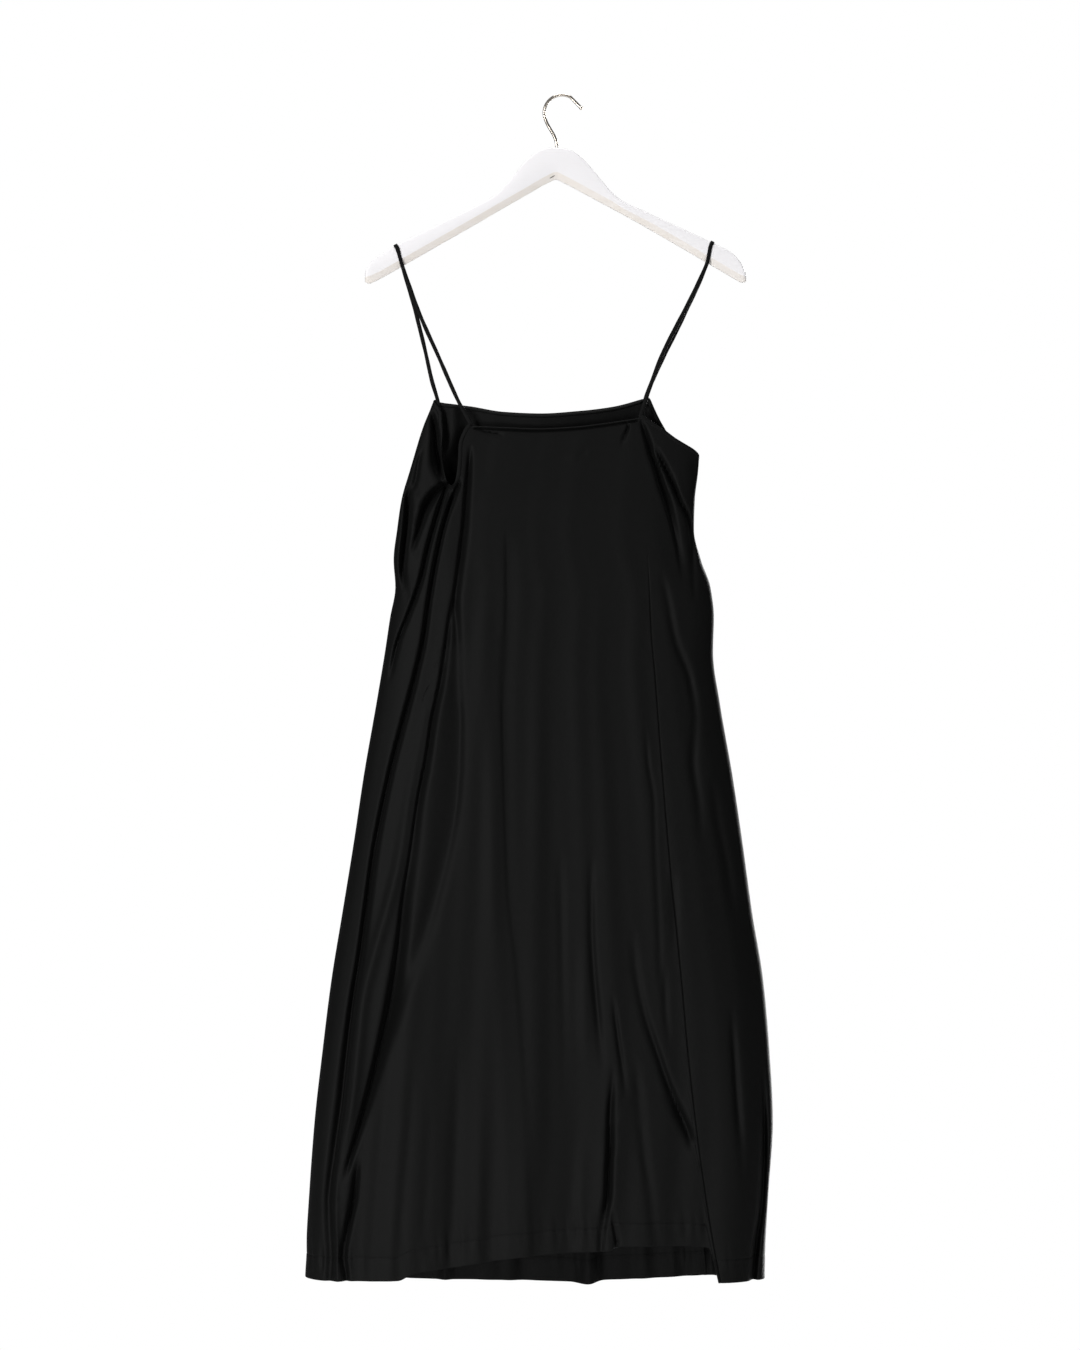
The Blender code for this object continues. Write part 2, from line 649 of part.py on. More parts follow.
def main():
    """Build the dress on its hanger."""
    for part in list(bpy.data.objects):
        bpy.data.objects.remove(part, do_unlink=True)
    cloth = material("cloth", (0.009, 0.009, 0.010), 0.85)
    trim = material("binding", (0.011, 0.011, 0.012), 0.8)
    paint = material("white_paint", (0.86, 0.85, 0.84), 0.35)
    metal = material("nickel", (0.62, 0.58, 0.54), 0.22, 1.0)
    for panel in PANELS:
        add_panel(panel, cloth)
    add_binding("armhole_binding_right", PANELS[1], trim)
    add_binding("armhole_binding_left", PANELS[3], trim)
    for name, sizes in STRAPS.items():
        add_strap(name, sizes, trim)
    add_hanger(paint)
    add_hook(metal)


main()
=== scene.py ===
"""Finish of a black slip dress that hangs from a flat white wooden hanger.

Sizes are in millimetres and become metres where a mesh is made. The origin is the inner
top of the hook, +Z is up and the front of the dress looks along -Y.

The dress is one tube of cloth. A ring goes round it at every height: turn 0 to 1 is the
front from its left side to its right side, turn 1 to 2 is the back from right to left.
Folds are troughs and ridges laid over the ring, and each panel is cut from it at its seams.
"""

import logging
import math
from dataclasses import dataclass, field, replace
from enum import Enum
from typing import Mapping, Optional, Sequence, Union

import bmesh
import bpy
import numpy as np
from mathutils import Matrix


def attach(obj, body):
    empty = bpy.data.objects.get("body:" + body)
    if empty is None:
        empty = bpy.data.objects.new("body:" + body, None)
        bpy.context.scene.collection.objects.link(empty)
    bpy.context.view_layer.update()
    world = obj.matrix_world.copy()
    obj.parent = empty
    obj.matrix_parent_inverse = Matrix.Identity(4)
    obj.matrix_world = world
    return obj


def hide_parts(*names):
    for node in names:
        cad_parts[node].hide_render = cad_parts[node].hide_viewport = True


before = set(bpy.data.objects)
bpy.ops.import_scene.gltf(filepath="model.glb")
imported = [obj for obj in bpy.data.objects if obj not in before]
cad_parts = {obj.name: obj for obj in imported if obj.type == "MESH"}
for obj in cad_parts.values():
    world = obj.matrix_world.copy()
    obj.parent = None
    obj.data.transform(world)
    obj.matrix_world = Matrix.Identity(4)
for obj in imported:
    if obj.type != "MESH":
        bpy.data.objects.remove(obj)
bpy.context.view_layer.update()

LOG = logging.getLogger("slip_dress")
MM = 0.001
BODY = "root"
Array = np.ndarray
Colour = tuple[float, float, float]
Place = tuple[float, float, float]
Piece = bpy.types.Object
Material = bpy.types.Material
Socket = bpy.types.NodeSocket
Key = Union[int, str]
Settings = Optional[Mapping[str, object]]
Sockets = Optional[Mapping[Key, object]]
Value = Union["Wire", float]


class Slot(Enum):
    """The record's material slots."""

    CLOTH = "cloth"
    TRIM = "trim"
    HANGER = "hanger_paint"
    HOOK = "hook_metal"


class Side(Enum):
    """Where on the dress's tube a point lies."""

    FRONT = "front"
    BACK = "back"
    EDGE = "edge"


# ---------------------------------------------------------------- numbers


def bent(share: Array, start: Array, lead: Array, end: Array, tail: Array) -> Array:
    """Points of a soft curve that leaves start along lead and comes to end along tail."""
    square = share * share
    cube = square * share
    return (
        (2 * cube - 3 * square + 1) * start
        + (cube - 2 * square + share) * lead
        + (3 * square - 2 * cube) * end
        + (cube - square) * tail
    )


def smooth(at: Array, value: Array, where: Array) -> Array:
    """Read a table on a smooth curve that never goes past its rows.

    Args:
        at: The places of the rows, rising.
        value: The value of each row.
        where: The places to read.

    Returns:
        The value at each place; past the ends it is the end row's.
    """
    run = np.diff(at)
    rise = np.diff(value) / run
    before = rise[:-1]
    after = rise[1:]
    agrees = before * after > 0
    both = np.where(agrees, before + after, 1.0)
    inner = np.where(agrees, 2 * before * after / both, 0.0)
    slope = np.concatenate([rise[:1], inner, rise[-1:]])
    step = np.clip(np.searchsorted(at, where) - 1, 0, len(run) - 1)
    share = np.clip((where - at[step]) / run[step], 0.0, 1.0)
    lead = run[step] * slope[step]
    tail = run[step] * slope[step + 1]
    return bent(share, value[step], lead, value[step + 1], tail)


def column(rows: Sequence[object], name: str) -> Array:
    """One field of every row of a table."""
    return np.array([getattr(row, name) for row in rows], dtype=float)


def ease(share: Array) -> Array:
    """Run softly from 0 to 1."""
    held = np.clip(share, 0.0, 1.0)
    return held * held * (3 - 2 * held)


def bell(distance: Array, width: float) -> Array:
    """A soft bump of height 1 at distance 0."""
    return np.exp(-((distance / width) ** 2))


def unit(vectors: Array) -> Array:
    """Vectors at length 1."""
    length = np.linalg.norm(vectors, axis=-1, keepdims=True)
    return vectors / np.maximum(length, 1e-12)


def run_length(points: Array) -> Array:
    """How far along its line each point lies."""
    steps = np.linalg.norm(np.diff(points, axis=0), axis=-1)
    return np.concatenate([np.zeros((1, *steps.shape[1:])), np.cumsum(steps, axis=0)])


def through(points: Array, count: int, fineness: int = 24) -> Array:
    """Points at even steps along a soft curve through given points.

    Args:
        points: The points of the route, one row each, of any number of columns.
        count: How many points to return.
        fineness: How many steps the curve is worked out at between two points.

    Returns:
        The points along the curve, first and last ones kept.
    """
    padded = np.concatenate([[2 * points[0] - points[1]], points, [2 * points[-1] - points[-2]]])
    share = np.linspace(0.0, 1.0, fineness, endpoint=False)[:, None]
    fine = []
    for k in range(1, len(padded) - 2):
        before, start, end, after = padded[k - 1 : k + 3]
        pull = np.linalg.norm((end - start)[:3])
        lead, tail = (
            way / max(np.linalg.norm(way[:3]), 1e-9) * pull for way in (end - before, after - start)
        )
        fine.append(bent(share, start, lead, end, tail))
    line = np.concatenate([*fine, points[-1:]])
    run = run_length(line[:, :3])
    even = np.linspace(0.0, run[-1], count)
    return np.stack([np.interp(even, run, values) for values in line.T], axis=1)


def soften(rows: Array, reach: int) -> Array:
    """Average each row with its neighbours; the first and the last row keep their place.

    Args:
        rows: One row for each step.
        reach: How many neighbours count on each side.

    Returns:
        The softened rows.
    """
    weights = np.hanning(2 * reach + 3)[1:-1]
    before = 2 * rows[:1] - rows[reach:0:-1]
    after = 2 * rows[-1:] - rows[-2 : -reach - 2 : -1]
    padded = np.concatenate([before, rows, after])
    share = weights / weights.sum()
    return np.stack([np.convolve(values, share, mode="valid") for values in padded.T], axis=1)


@dataclass(frozen=True)
class Wave:
    """A slow swing: its height, its length for one radian, and its start in radians."""

    height: float
    length: float
    phase: float = 0.0

    def at(self, x: Array) -> Array:
        """The swing at places."""
        return self.height * np.sin(x / self.length + self.phase)


# ---------------------------------------------------------------- meshes


def link(name: str, data: bpy.types.ID) -> Piece:
    """A new object at the origin, in the scene."""
    made = bpy.data.objects.new(name, data)
    bpy.context.scene.collection.objects.link(made)
    return made


def mesh_object(name: str, points: Array, faces: Sequence[Sequence[int]]) -> Piece:
    """An object at the origin, shaded smooth, from points in millimetres and their faces."""
    mesh = bpy.data.meshes.new(name)
    mesh.from_pydata((np.asarray(points) * MM).tolist(), [], faces)
    mesh.shade_smooth()
    return link(name, mesh)


def face_outwards(piece: Piece, sharp: float = 180.0) -> None:
    """Turn a closed mesh's faces outwards and mark its sharp edges.

    Args:
        piece: The object to mend.
        sharp: Edges that turn by more than this many degrees stay sharp.
    """
    shape = bmesh.new()
    shape.from_mesh(piece.data)
    bmesh.ops.recalc_face_normals(shape, faces=shape.faces)
    shape.to_mesh(piece.data)
    shape.free()
    piece.data.shade_smooth()
    if sharp < 180.0:
        piece.data.set_sharp_from_angle(angle=math.radians(sharp))


def loft(name: str, sections: Array, sharp: float = 180.0) -> Piece:
    """A closed solid through sections.

    Args:
        name: The piece's name.
        sections: Points as (section, point of the outline, 3), in millimetres.
        sharp: Edges that turn by more than this many degrees stay sharp.

    Returns:
        The linked object, with a face on each end.
    """
    count, size = sections.shape[:2]
    faces = [list(range(size)), list(range((count - 1) * size, count * size))]
    for k in range(count - 1):
        for i in range(size):
            j = (i + 1) % size
            a = k * size
            faces.append([a + i, a + j, a + size + j, a + size + i])
    piece = mesh_object(name, sections.reshape(-1, 3), faces)
    face_outwards(piece, sharp)
    return piece


def add_uv(piece: Piece, flat: Array) -> None:
    """Give a mesh a UV map in metres, from the flat place of each point in millimetres."""
    layer = piece.data.uv_layers.new(name="flat")
    corners = np.empty(len(piece.data.loops), dtype=np.int32)
    piece.data.loops.foreach_get("vertex_index", corners)
    layer.data.foreach_set("uv", (flat[corners] * MM).astype(np.float32).ravel())


def add_tone(piece: Piece, name: str, tone: Array) -> None:
    """Give a mesh a number at each point, for its material to read."""
    layer = piece.data.attributes.new(name, "FLOAT", "POINT")
    layer.data.foreach_set("value", np.asarray(tone, dtype=np.float32))


# ---------------------------------------------------------------- node trees


class Nodes:
    """A node tree that is being filled."""

    def __init__(self, tree: bpy.types.NodeTree) -> None:
        """Start with an empty tree."""
        self.tree = tree
        self.tree.nodes.clear()

    def add(self, kind: str, settings: Settings = None, sockets: Sockets = None) -> bpy.types.Node:
        """Add a node.

        Args:
            kind: The node's type.
            settings: Its settings, such as an operation.
            sockets: The value, wire or source of each input, by name or number.

        Returns:
            The node.
        """
        made = self.tree.nodes.new(kind)
        for key, value in (settings or {}).items():
            setattr(made, key, value)
        for key, value in (sockets or {}).items():
            source = value.socket if isinstance(value, Wire) else value
            if isinstance(source, Socket):
                self.tree.links.new(source, made.inputs[key])
            else:
                made.inputs[key].default_value = source
        return made

    def source(
        self, kind: str, settings: Settings = None, sockets: Sockets = None, output: Key = 0
    ) -> Socket:
        """Add a node and return one of its outputs."""
        return self.add(kind, settings, sockets).outputs[output]


class Grove(Nodes):
    """A Geometry Nodes tree with named inputs."""

    def __init__(self, name: str, inputs: Mapping[str, tuple[str, object]]) -> None:
        """Start a tree.

        Args:
            name: The name of the tree and of the piece that it makes.
            inputs: Socket type and value of each input after the geometry, by its name.
        """
        super().__init__(bpy.data.node_groups.new(name, "GeometryNodeTree"))
        self.name = name
        self.values: dict[str, object] = {}
        face = self.tree.interface
        face.new_socket(name="Geometry", in_out="INPUT", socket_type="NodeSocketGeometry")
        for label, (kind, value) in inputs.items():
            socket = face.new_socket(name=label, in_out="INPUT", socket_type=kind)
            self.values[socket.identifier] = value
        face.new_socket(name="Geometry", in_out="OUTPUT", socket_type="NodeSocketGeometry")
        self.given = self.add("NodeGroupInput").outputs

    def grow(self, last: Socket, guide: Piece) -> Piece:
        """Close the tree, run it on a guide and keep the result as a plain mesh.

        Args:
            last: The source of the geometry that the tree makes.
            guide: The object that the tree starts from; it is removed.

        Returns:
            The new object at the origin.
        """
        real = self.source("GeometryNodeRealizeInstances", {}, {"Geometry": last})
        sockets = {"Geometry": real, "Material": self.given["Material"]}
        self.add("NodeGroupOutput", {}, {0: self.source("GeometryNodeSetMaterial", {}, sockets)})
        maker = guide.modifiers.new("grow", "NODES")
        maker.node_group = self.tree
        for identifier, value in self.values.items():
            maker[identifier] = value
        graph = bpy.context.evaluated_depsgraph_get()
        mesh = bpy.data.meshes.new_from_object(guide.evaluated_get(graph))
        guide.modifiers.remove(maker)
        bpy.data.objects.remove(guide, do_unlink=True)
        mesh.name = self.name
        return link(self.name, mesh)


# ---------------------------------------------------------------- materials


class Wire:
    """A value on its way through a material's nodes. Arithmetic on it adds Math nodes."""

    def __init__(self, recipe: "Recipe", socket: Socket) -> None:
        """Hold an output socket of a recipe."""
        self.recipe = recipe
        self.socket = socket

    def maths(self, operation: str, *values: Value) -> "Wire":
        """One Math node on values, in their order."""
        return self.recipe.node("ShaderNodeMath", {"operation": operation}, dict(enumerate(values)))

    def __add__(self, other: Value) -> "Wire":
        """This plus other."""
        return self.maths("ADD", self, other)

    def __radd__(self, other: float) -> "Wire":
        """Other plus this."""
        return self.maths("ADD", other, self)

    def __sub__(self, other: Value) -> "Wire":
        """This minus other."""
        return self.maths("SUBTRACT", self, other)

    def __rsub__(self, other: float) -> "Wire":
        """Other minus this."""
        return self.maths("SUBTRACT", other, self)

    def __mul__(self, other: Value) -> "Wire":
        """This times other."""
        return self.maths("MULTIPLY", self, other)

    def sine(self) -> "Wire":
        """The sine of this."""
        return self.maths("SINE", self)

    def above(self, low: float, high: float) -> "Wire":
        """Runs from 0 where this is low to 1 where it is high."""
        return self.recipe.node(
            "ShaderNodeMapRange",
            {"interpolation_type": "SMOOTHSTEP"},
            {"Value": self, "From Min": low, "From Max": high},
        )


class Recipe(Nodes):
    """The nodes of one material."""

    def __init__(self, name: str) -> None:
        """Start an empty material."""
        self.material = bpy.data.materials.new(name)
        self.material.use_nodes = True
        super().__init__(self.material.node_tree)

    def node(
        self, kind: str, settings: Settings = None, sockets: Sockets = None, output: Key = 0
    ) -> Wire:
        """Add a node and return the wire from one of its outputs."""
        return Wire(self, self.source(kind, settings, sockets, output))

    def place(self) -> Wire:
        """The place on the object, in metres."""
        return self.node("ShaderNodeTexCoord", {}, {}, "Object")

    def tone(self, name: str) -> Wire:
        """A number that the mesh carries at each point."""
        return self.node("ShaderNodeAttribute", {"attribute_name": name}, {}, "Fac")

    def mix(self, factor: Value, first: object, second: object) -> Wire:
        """Mix two colours."""
        return self.node(
            "ShaderNodeMix", {"data_type": "RGBA"}, {0: factor, 6: first, 7: second}, 2
        )

    def noise(
        self,
        vector: Wire,
        scale: float,
        detail: float = 2.0,
        rough: float = 0.5,
        stretch: Sequence[float] = (1.0, 1.0, 1.0),
    ) -> Wire:
        """Soft noise from 0 to 1.

        Args:
            vector: Where to read it.
            scale: Lumps for each metre.
            detail: How many finer layers lie on it.
            rough: How strong they are.
            stretch: Share of the scale along each axis.

        Returns:
            The noise.
        """
        mapping = {"Vector": vector, "Scale": stretch}
        place = self.node("ShaderNodeMapping", {"vector_type": "POINT"}, mapping)
        sockets = {"Vector": place, "Scale": scale, "Detail": detail, "Roughness": rough}
        return self.node("ShaderNodeTexNoise", {}, sockets)

    def parts(self, vector: Wire) -> tuple[Wire, Wire, Wire]:
        """The X, Y and Z of a vector."""
        split = self.add("ShaderNodeSeparateXYZ", {}, {0: vector})
        return tuple(Wire(self, socket) for socket in split.outputs)

    def bump(
        self, height: Wire, depth: float, strength: float, under: Optional[Wire] = None
    ) -> Wire:
        """A bumped normal, over another one where it is given."""
        sockets = {"Height": height, "Distance": depth, "Strength": strength}
        if under is not None:
            sockets["Normal"] = under
        return self.node("ShaderNodeBump", {}, sockets)

    def finish(self, sockets: Mapping[Key, object]) -> Material:
        """Close the material with a Principled shader of these inputs."""
        shader = self.node("ShaderNodeBsdfPrincipled", {}, sockets)
        self.add("ShaderNodeOutputMaterial", {}, {"Surface": shader})
        return self.material


def rgba(colour: Colour, share: float = 1.0) -> tuple[float, float, float, float]:
    """A colour with its alpha, made darker or lighter by a share."""
    return (colour[0] * share, colour[1] * share, colour[2] * share, 1.0)


@dataclass(frozen=True)
class CrepeFinish:
    """Black crepe with a dry, pebbled face, woven plain, and a faint sheen, painted lighter on fold
    ridges as a highlight.

    Thread and depths are in metres. Pebbles, slubs and lumps are a number for each metre.
    """

    name: str = "black_crepe"
    colour: Colour = (0.0031, 0.0032, 0.0031)
    mottle: float = 0.16
    rub_marks_and_ridge_highlight: float = 0.30
    roughness: float = 0.60
    sheen: float = 0.026
    sheen_roughness: float = 0.33
    sheen_tint: Colour = (0.63, 0.64, 0.64)
    gloss: float = 0.08
    thread: float = 0.00042
    pebble: float = 1100.0
    pebble_depth: float = 0.00014
    slub: float = 520.0
    lump: float = 85.0
    lump_depth: float = 0.0012
    lump_strength: float = 0.16
    pebble_mottle: float = 1.6
    slub_mottle: float = 0.7
    slub_height: float = 0.35
    weave_height: float = 0.12
    face_strength: float = 0.4
    roughness_swing: float = 0.14

    def make(self) -> Material:
        """The material, its weave on the flat map and its lumps on the form."""
        recipe = Recipe(self.name)
        flat = recipe.node("ShaderNodeUVMap", {"uv_map": "flat"})
        across, along, _ = recipe.parts(flat)
        turn = 2 * math.pi / self.thread
        weave = (across * turn).sine() * (along * turn).sine()
        pebble = recipe.noise(flat, self.pebble, 3.0, 0.6, (1.0, 0.7, 1.0))
        slub = recipe.noise(flat, self.slub, stretch=(1.0, 0.06, 1.0))
        lumps = recipe.noise(recipe.place(), self.lump, 3.0, 0.55)
        tone = (
            1.0
            + (lumps - 0.5) * self.mottle
            + (pebble - 0.5) * self.mottle * self.pebble_mottle
            + (slub - 0.5) * self.mottle * self.slub_mottle
            # painted highlight: the colour is lighter where fold ridges push the cloth out
            + recipe.tone("rub_marks_and_ridge_highlight") * self.rub_marks_and_ridge_highlight
        )
        base = recipe.mix(tone * 0.5, rgba(self.colour, 0.0), rgba(self.colour, 2.0))
        height = pebble + slub * self.slub_height + weave * self.weave_height
        soft = recipe.bump(lumps, self.lump_depth, self.lump_strength)
        return recipe.finish(
            {
                "Base Color": base,
                "Roughness": self.roughness + (pebble - 0.5) * self.roughness_swing,
                "Specular IOR Level": self.gloss,
                "Sheen Weight": self.sheen,
                "Sheen Roughness": self.sheen_roughness,
                "Sheen Tint": rgba(self.sheen_tint),
                "Normal": recipe.bump(height, self.pebble_depth, self.face_strength, soft),
            }
        )


@dataclass(frozen=True)
class ThreadFinish:
    """Twisted black polyester thread, with its ribs in radians for each metre."""

    name: str = "black_thread"
    colour: Colour = (0.0040, 0.0040, 0.0042)
    roughness: float = 0.6
    gloss: float = 0.10
    ribs: float = 21000.0
    rib_depth: float = 0.00006
    rib_strength: float = 0.5
    fuzz: float = 3600.0

    def make(self) -> Material:
        """The material, with the twist as fine slanted ribs."""
        recipe = Recipe(self.name)
        place = recipe.place()
        x, y, z = recipe.parts(place)
        twist = ((x + y * 0.6 + z * 1.4) * self.ribs).sine()
        fuzz = recipe.noise(place, self.fuzz, 1.0)
        base = recipe.mix(fuzz, rgba(self.colour, 0.7), rgba(self.colour, 1.5))
        return recipe.finish(
            {
                "Base Color": base,
                "Roughness": self.roughness + fuzz * 0.15,
                "Specular IOR Level": self.gloss,
                "Normal": recipe.bump(twist, self.rib_depth, self.rib_strength),
            }
        )


@dataclass(frozen=True)
class PaintFinish:
    """White satin paint over close-grained wood, painted warmer and darker on the bevel below,
    partly as a tint and partly as painted shade.

    The nick is in metres; its across and along say how fast it fades each way.
    """

    name: str = "white_paint"
    colour: Colour = (0.90, 0.885, 0.90)
    bevel_tint_and_shade: Colour = (0.74, 0.66, 0.55)
    bare: Colour = (0.60, 0.50, 0.38)
    nick: Colour = (0.035, 0.028, 0.022)
    nick_x: float = -0.0112
    nick_z: float = -0.0930
    nick_slope: float = 0.55
    nick_across: float = 90000.0
    nick_along: float = 2200000.0
    grain: float = 900.0
    brush: float = 160.0
    grain_depth: float = 0.00012
    grain_strength: float = 0.35
    speck: float = 420.0
    roughness: float = 0.42
    gloss: float = 0.4
    coat: float = 0.12
    coat_roughness: float = 0.25

    def make(self) -> Material:
        """The material, with grain under the paint and a small dark nick at the crown."""
        recipe = Recipe(self.name)
        place = recipe.place()
        x, _, z = recipe.parts(place)
        bevel = recipe.tone("bevel")
        grain = recipe.noise(place, self.grain, 3.0, 0.6, (0.05, 1.0, 1.0))
        brush = recipe.noise(place, self.brush, stretch=(0.12, 1.0, 1.0))
        specks = recipe.noise(place, self.speck, 2.0, 0.7).above(0.66, 0.78)
        # partly painted shade: the downward-facing bevel is mixed towards a darker, warmer colour
        base = recipe.mix(bevel * (0.30 + brush * 0.35), rgba(self.colour), rgba(self.bevel_tint_and_shade))
        base = recipe.mix(specks * bevel * 0.45, base, rgba(self.bare))
        base = recipe.mix(grain.above(0.52, 0.75) * 0.06, base, rgba(self.bare))
        off_x = x - self.nick_x
        off_z = (z - self.nick_z) - off_x * self.nick_slope
        near = 1.0 - (off_x * off_x * self.nick_across + off_z * off_z * self.nick_along)
        base = recipe.mix(near.above(0.0, 0.35), base, rgba(self.nick))
        return recipe.finish(
            {
                "Base Color": base,
                "Roughness": self.roughness + (brush - 0.5) * 0.16,
                "Specular IOR Level": self.gloss,
                "Coat Weight": self.coat,
                "Coat Roughness": self.coat_roughness,
                "Normal": recipe.bump(grain + brush * 0.6, self.grain_depth, self.grain_strength),
            }
        )


@dataclass(frozen=True)
class NickelFinish:
    """Bright nickel plate with fine handling marks."""

    name: str = "nickel_plate"
    colour: Colour = (0.66, 0.60, 0.53)
    roughness: float = 0.16
    rub_marks_and_ridge_highlight: float = 1900.0
    rub_depth: float = 0.00003
    rub_strength: float = 0.3
    tarnish: float = 140.0

    def make(self) -> Material:
        """The material, with faint rubbed streaks round the wire."""
        recipe = Recipe(self.name)
        place = recipe.place()
        rubs = recipe.noise(place, self.rub_marks_and_ridge_highlight, 3.0, 0.6, (1.0, 0.3, 1.0))
        tarnish = recipe.noise(place, self.tarnish).above(0.5, 0.8)
        base = recipe.mix(tarnish * 0.5, rgba(self.colour), rgba(self.colour, 0.55))
        return recipe.finish(
            {
                "Base Color": base,
                "Metallic": 1.0,
                "Roughness": self.roughness + rubs * 0.14 + tarnish * 0.1,
                "Normal": recipe.bump(rubs, self.rub_depth, self.rub_strength),
            }
        )


@dataclass(frozen=True)
class FloorFinish:
    """A plain pale studio floor."""

    name: str = "studio_floor"
    colour: Colour = (0.90, 0.90, 0.905)
    roughness: float = 0.85
    gloss: float = 0.1
    cloud: float = 2.0

    def make(self) -> Material:
        """The material, with a faint unevenness."""
        recipe = Recipe(self.name)
        cloud = recipe.noise(recipe.place(), self.cloud)
        base = recipe.mix(cloud, rgba(self.colour, 0.98), rgba(self.colour, 1.02))
        gloss = {"Roughness": self.roughness, "Specular IOR Level": self.gloss}
        return recipe.finish({"Base Color": base, **gloss})


def dress_piece(piece: Piece, finish: Material, slot: Slot, *nodes: str) -> None:
    """Give a piece its finish and its body, and hide the nodes it stands for."""
    piece.data.materials.clear()
    piece.data.materials.append(finish)
    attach(piece, BODY)
    if nodes:
        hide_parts(*nodes)


# ---------------------------------------------------------------- the tube of cloth


@dataclass(frozen=True)
class Level:
    """The tube at one height: its two sides, and how far front and back stand out."""

    z: float
    left: float
    right: float
    front: float
    back: float


@dataclass(frozen=True)
class SeamRow:
    """Where the four seams cross one height."""

    z: float
    front_left: float
    front_right: float
    back_left: float
    back_right: float


@dataclass(frozen=True)
class Edge:
    """A point of a cut edge."""

    side: Side
    x: float
    z: float


@dataclass(frozen=True)
class At:
    """A fold at one height: its half width, and how far it moves the cloth outwards.

    A trough has a negative push. Lean makes its left wall steeper, and a negative one its right.
    """

    x: float
    z: float
    wide: float
    push: float
    lean: float = 0.0


Fold = tuple[At, ...]


@dataclass(frozen=True)
class Tuck:
    """A short crease across the cloth, from its start to its end."""

    side: Side
    start: tuple[float, float]
    end: tuple[float, float]
    wide: float
    push: float


@dataclass(frozen=True)
class Ripple:
    """A low wave in the cloth between its folds, fanned out with the skirt.

    Its length is that at the ripple width, and its slant is in waves for each centimetre.
    """

    length: float
    slant: float
    phase: float
    height: float


@dataclass(frozen=True)
class Ditch:
    """How a seam draws the cloth in, less above a height than below it."""

    depth: float
    share_above: float
    change_z: float = -560.0
    run: float = 90.0

    def depth_at(self, z: Array) -> Array:
        """The ditch's depth at heights."""
        below = ease((self.change_z - z) / self.run + 0.5)
        return self.depth * (self.share_above + (1 - self.share_above) * below)


def cut(side: Side, *places: tuple[float, float]) -> tuple[Edge, ...]:
    """The x and z of points of a cut edge that lie on one side."""
    return tuple(Edge(side, x, z) for x, z in places)


def folds(*rows: Sequence[tuple[float, ...]]) -> tuple[Fold, ...]:
    """Folds from the x, z, half width, push and lean at each of their heights."""
    return tuple(tuple(At(*row) for row in fold) for fold in rows)


LEVELS = (
    Level(-1375, -296, 233, 58, 62),
    Level(-1330, -295, 234, 57, 61),
    Level(-1260, -291, 238, 55, 59),
    Level(-1180, -285, 243, 52, 57),
    Level(-1100, -276, 239, 50, 55),
    Level(-1020, -266, 232, 48, 53),
    Level(-940, -253, 219, 46, 50),
    Level(-860, -240, 208, 43, 47),
    Level(-780, -228, 196, 40, 44),
    Level(-700, -214, 182, 36, 40),
    Level(-640, -204, 174, 34, 37),
    Level(-600, -198, 175, 32, 35),
    Level(-565, -192, 171, 31, 33),
    Level(-534, -194, 160, 29, 31),
    Level(-499, -190, 152, 26, 28),
    Level(-465, -185, 153, 23, 25),
    Level(-430, -175, 157, 18, 20),
    Level(-413, -170, 158, 16, 18),
    Level(-396, -165, 158, 14, 16),
    Level(-378, -159, 157, 12, 14),
    Level(-361, -152, 156, 10, 12),
    Level(-345, -146, 155, 9, 11),
)

SEAMS = (
    SeamRow(-1375, -266, 184, -248, 168),
    SeamRow(-1300, -263, 170, -240, 162),
    SeamRow(-1240, -252, 161, -232, 157),
    SeamRow(-1180, -233, 153, -224, 152),
    SeamRow(-1100, -212.5, 144, -213, 147),
    SeamRow(-1020, -195.5, 137, -202, 142),
    SeamRow(-940, -184, 129, -191, 137),
    SeamRow(-860, -171.5, 121.5, -179, 131),
    SeamRow(-780, -159, 115, -167, 125),
    SeamRow(-700, -146, 109, -156, 119),
    SeamRow(-660, -131, 106, -151, 116),
    SeamRow(-620, -112, 102.5, -147, 113),
    SeamRow(-540, -100, 99, -143, 107),
    SeamRow(-460, -103, 93, -143, 101),
    SeamRow(-380, -104, 90, -143, 97),
    SeamRow(-345, -104, 88, -143, 95),
)

SEAM_DITCHES = {
    "front_left": Ditch(0.0, 1.0),
    "front_right": Ditch(1.3, 0.0),
    "back_left": Ditch(1.0, 0.6),
    "back_right": Ditch(1.0, 0.6),
}

NECK_FRONT = cut(
    Side.FRONT, (-104, -380), (-70, -381.3), (-30, -382.8), (12, -381), (52, -376.4), (90, -371),
)
NECK_BACK = cut(
    Side.BACK, (96, -348), (60, -357), (20, -362), (-25, -365), (-70, -363), (-110, -356.5),
    (-143, -352),
)
ARMHOLE_RIGHT = (
    *cut(Side.FRONT, (90, -371), (100, -378), (114, -387), (128, -397), (146, -407)),
    *cut(Side.EDGE, (158, -417)),
    *cut(Side.BACK, (146, -407), (122, -395), (110, -378), (101, -361), (96, -348)),
)
ARMHOLE_LEFT = (
    *cut(Side.BACK, (-143, -352)),
    *cut(Side.EDGE, (-149, -354)),
    *cut(
        Side.FRONT, (-143, -362), (-140, -385), (-139, -420), (-134, -444), (-125, -452),
        (-117, -443), (-115, -425), (-113, -400), (-104, -380),
    ),
)
HEM_FRONT = cut(
    Side.FRONT, (-266, -1360), (-190, -1358), (-174, -1351), (-120, -1342), (-56, -1332),
    (9, -1326), (54, -1324), (68, -1319), (128, -1318.5), (172, -1321), (184, -1361),
)
HEM_RIGHT = (
    *cut(Side.FRONT, (184, -1361)),
    *cut(Side.EDGE, (233, -1361)),
    *cut(Side.BACK, (168, -1364)),
)
HEM_BACK = cut(
    Side.BACK, (168, -1364), (91, -1369), (48, -1371), (31, -1374.5), (10, -1372.5), (-95, -1370),
    (-165, -1369), (-248, -1361),
)
HEM_LEFT = (
    *cut(Side.BACK, (-248, -1361)),
    *cut(Side.EDGE, (-296, -1359)),
    *cut(Side.FRONT, (-266, -1360)),
)

